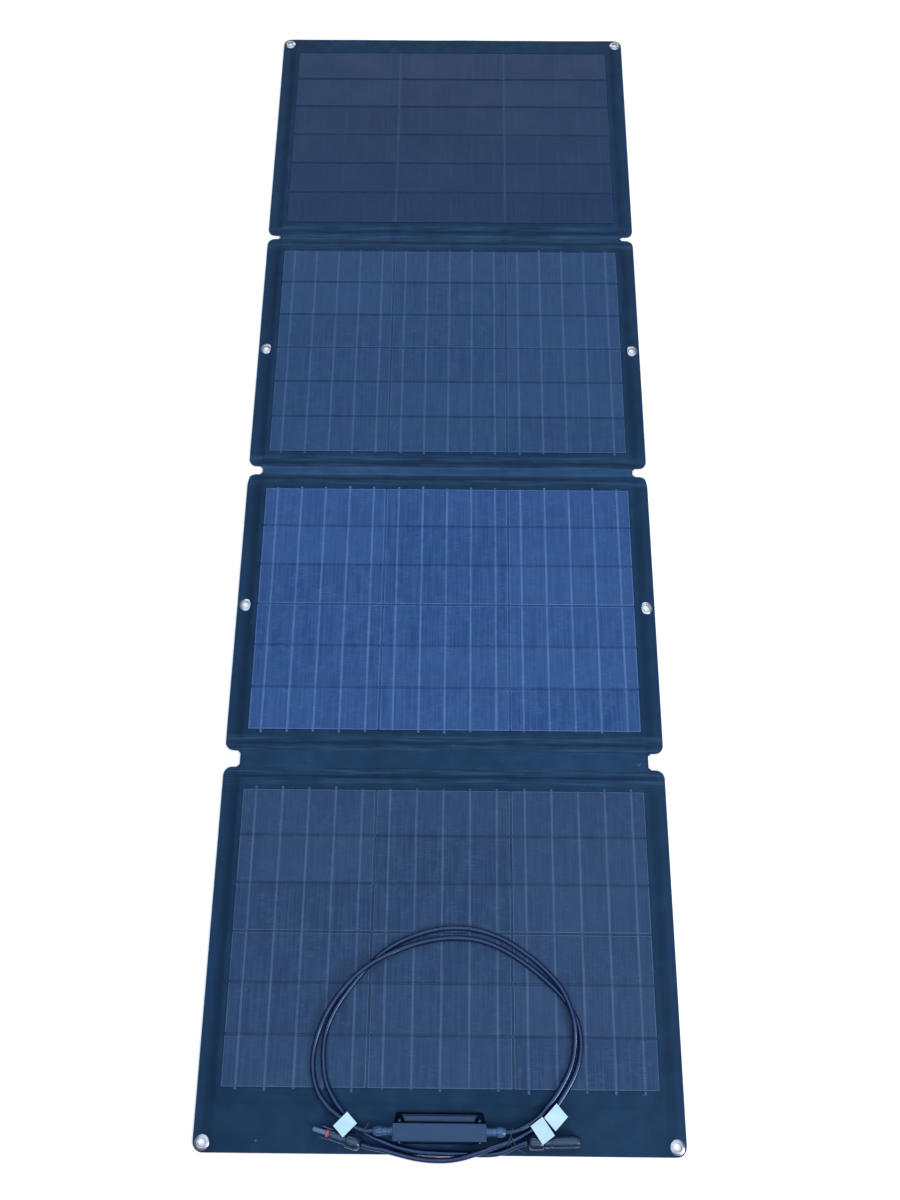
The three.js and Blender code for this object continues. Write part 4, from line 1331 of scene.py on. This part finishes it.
sleeve_section = [(0, 34), (2.6, 34), (2.6, 41), (2.5, 41.2), (2.5, 52.2), (2.3, 52.9),
                  (1.9, 53.4), (1.2, 53.4), (1.1, 50), (0, 50)]
sleeve = plug.place(turned("plug_sleeve", sleeve_section, 32))
finish_piece(sleeve, "leaf_4", moulded["sleeve_plastic"])
seal_section = [(2.75, 35), (3.6, 34.9), (4.05, 35.3), (4.1, 35.8), (3.7, 36.3), (3.7, 37),
                (4.1, 37.5), (4.05, 38.2), (3.6, 38.6), (2.75, 38.5), (2.75, 35)]
seal = plug.place(turned("plug_red_seal", seal_section, 40))
finish_piece(seal, "leaf_4", moulded["red_seal"], ["plug_seal"])

# %% Socket with its windows
socket_section = [
    (0, 16.8), (5.4, 16.8), (5.9, 18.4), (6, 20), (6, 23), (5.6, 23.4), (5.6, 25), (6, 25.4),
    (6, 50.4), (5.85, 52), (5.4, 54), (5.0, 54.3), (3.4, 54.3), (3.2, 54), (3.2, 39), (0, 39),
]
tube = turned("socket_shell", socket_section, 40)
for sign in (-1, 1):
    inner, outer = sorted((sign * 4.7 * mm, sign * 8 * mm))
    cut(tube, block("window", (inner, -1.9 * mm, 30 * mm), (outer, 1.9 * mm, 46 * mm)))
ribs = [tube]
for turn in (30, 90, 150, 210, 270, 330):
    rib = block("rib", (5.6 * mm, -0.5 * mm, 27 * mm), (6.35 * mm, 0.5 * mm, 49 * mm))
    soften(rib, 0.2 * mm)
    rib.rotation_euler.z = math.radians(turn)
    select_only(rib)
    bpy.ops.object.transform_apply(location=True, rotation=True, scale=True)
    ribs.append(rib)
socket_shell = socket.place(join("socket_shell", ribs))
finish_piece(socket_shell, "leaf_4", moulded["connector_plastic"], ["socket_body"])

# %% [markdown]
# ## Tags
# Three blank paper tags are folded round the leads and stuck to themselves. Each is a grid
# between four corners, bowed a little, with a faint ripple. A wall makes it as thick as card.

# %% Paper tags
def tag(name, corners, bow):
    """A curved card between four corners of its lower face."""
    a, b, c, d = (Vector(corner) * mm for corner in corners)
    add = bpy.ops.mesh.primitive_grid_add
    obj = start(name, add, x_subdivisions=10, y_subdivisions=10, size=2)
    for vertex in obj.data.vertices:
        u, v = (vertex.co.x + 1) / 2, (vertex.co.y + 1) / 2
        place = (a * (1 - u) + b * u) * (1 - v) + (d * (1 - u) + c * u) * v
        lift = bow * mm * math.sin(math.pi * v) + 0.15 * mm * math.sin(5 * u + 3 * v)
        vertex.co = place + Vector((0, 0, lift + 0.45 * mm))
    add_modifier(obj, "SOLIDIFY", thickness=0.35 * mm, offset=-1)
    select_only(obj)
    bpy.ops.object.mode_set(mode="EDIT")
    bpy.ops.mesh.select_all(action="SELECT")
    bpy.ops.mesh.normals_make_consistent(inside=False)
    bpy.ops.object.mode_set(mode="OBJECT")
    return obj


tag_corners = {
    "tag_left": [(-98.1, -737.1, 13.9), (-87.3, -748, 14.6), (-101.5, -761.4, 16.2),
                 (-112.3, -750.5, 15.5)],
    "tag_right_1": [(109.1, -740.2, 12.1), (121.4, -757.3, 17.2), (108.5, -766.1, 18.5),
                    (96.2, -749, 13.6)],
    "tag_right_2": [(124.4, -727.2, 11.2), (136, -739.9, 13.5), (122.4, -753.4, 15.6),
                    (110.8, -740.7, 13.3)],
}
tags = {}
for name, corners in tag_corners.items():
    tags[name] = tag(f"paper_{name}", corners, 0.35)
    finish_piece(tags[name], "leaf_4", paper, [name], smooth=60)

# %% [markdown]
# ## Wire ties
# A plastic-covered wire is wound round each lead and its ends stick out. Each tie is one
# curve of a few strands: a coil round the lead, then its tails. Curves with a small bevel are
# the natural tool.

# %% Ties
def wire(name, strands, radius):
    curve = bpy.data.curves.new(name, "CURVE")
    curve.dimensions = "3D"
    curve.bevel_depth = radius
    curve.bevel_resolution = 3
    curve.resolution_u = 6
    curve.use_fill_caps = True
    for strand in strands:
        spline = curve.splines.new("NURBS")
        spline.points.add(len(strand) - 1)
        for point, place in zip(spline.points, strand):
            point.co = (*(Vector(place) * mm), 1)
        spline.use_endpoint_u = True
        spline.order_u = 4
    obj = bpy.data.objects.new(name, curve)
    bpy.context.scene.collection.objects.link(obj)
    select_only(obj)
    bpy.ops.object.convert(target="MESH")
    return bpy.context.object


def loop_points(centre, direction, radius, turns, pitch, steps=14):
    """Points of a coil round a line, for a wire wound on a lead."""
    along = Vector(direction).normalized()
    side = along.cross(Vector((0, 0, 1))).normalized()
    up = side.cross(along)
    points = []
    for i in range(int(turns * steps) + 1):
        angle = math.tau * i / steps
        spread = (i / steps - turns / 2) * pitch
        offset = side * math.cos(angle) * radius + up * math.sin(angle) * radius
        points.append(Vector(centre) + along * spread + offset)
    return points


left_loop = loop_points((-79, -755.4, 11.3), (-16.6, 2.7, 1.2), 3.6, 1.5, 1.3)
left_tail = [left_loop[-1], (-77, -751.6, 14.2), (-76.4, -749, 13.4), (-75, -747.4, 12.2)]
tie_radius = 0.4 * mm
tie_left = wire("wire_tie_left", [left_loop, left_tail], tie_radius)
finish_piece(tie_left, "leaf_4", moulded["tie_plastic"], ["tie_left"], smooth=60)
right_loop = loop_points((74, -764.6, 7.9), (-16, -5.5, 2.6), 3.6, 1.5, 1.6)
crossing = [(71.5, -769.5, 10.5), (73.2, -763, 12.2), (76, -756.5, 13.4), (77.6, -751.5, 12.4)]
recrossing = [(80.5, -768.5, 10.6), (77.2, -762.5, 13.2), (74.6, -757.5, 14.2),
              (74.8, -753.5, 13.6)]
tail = [(76, -768.5, 9.6), (80.5, -770.5, 11.2), (86, -773, 12.2), (90.5, -775.4, 11.8)]
tie_right = wire("wire_tie_right", [right_loop, crossing, recrossing, tail], tie_radius)
finish_piece(tie_right, "leaf_4", moulded["tie_plastic"], ["tie_right"], smooth=60)

# %% [markdown]
# ## Leads on the near leaf
# Each lead curve has the lead's thickness and follows its route; here it gets the jacket
# finish, takes the place of the model's lead, and hangs on the near leaf's body. The
# connectors, tags and ties go with the leads.

for obj, node in ((right_lead, "lead_right"), (left_lead, "lead_left")):
    obj.data.materials.append(moulded["lead_jacket"])
    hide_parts(node)
    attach(obj, "leaf_4")
print("leads declared:", right_lead.name, left_lead.name)

# %% [markdown]
# ## Finishes for the parts of the model that stay
# Boards, wires, the gasket and the diode board keep the model's own shapes, and only get a
# finish.

# %% Finishes on kept nodes
kept = {
    "board": moulded["board"],
    "fold_wire": copper,
    "box_gasket": moulded["black_rubber"],
    "diode_board": moulded["circuit_board"],
}
for name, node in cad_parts.items():
    for start_of_name, material in kept.items():
        if name.startswith(start_of_name):
            node.data.materials.clear()
            node.data.materials.append(material)
shown = [name for name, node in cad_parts.items() if not node.hide_render]
print("kept nodes:", shown)

# %% [markdown]
# ## Size before and after
# The looks must not change the size, so both boxes are printed side by side.
# The looks must not change the size, so both boxes are written side by side.

# %% Sizes
bpy.context.view_layer.update()
boxes = {"model": model_box, "looks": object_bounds()}
for name, box in boxes.items():
    print(name, [tuple(round(v, 4) for v in corner) for corner in box])
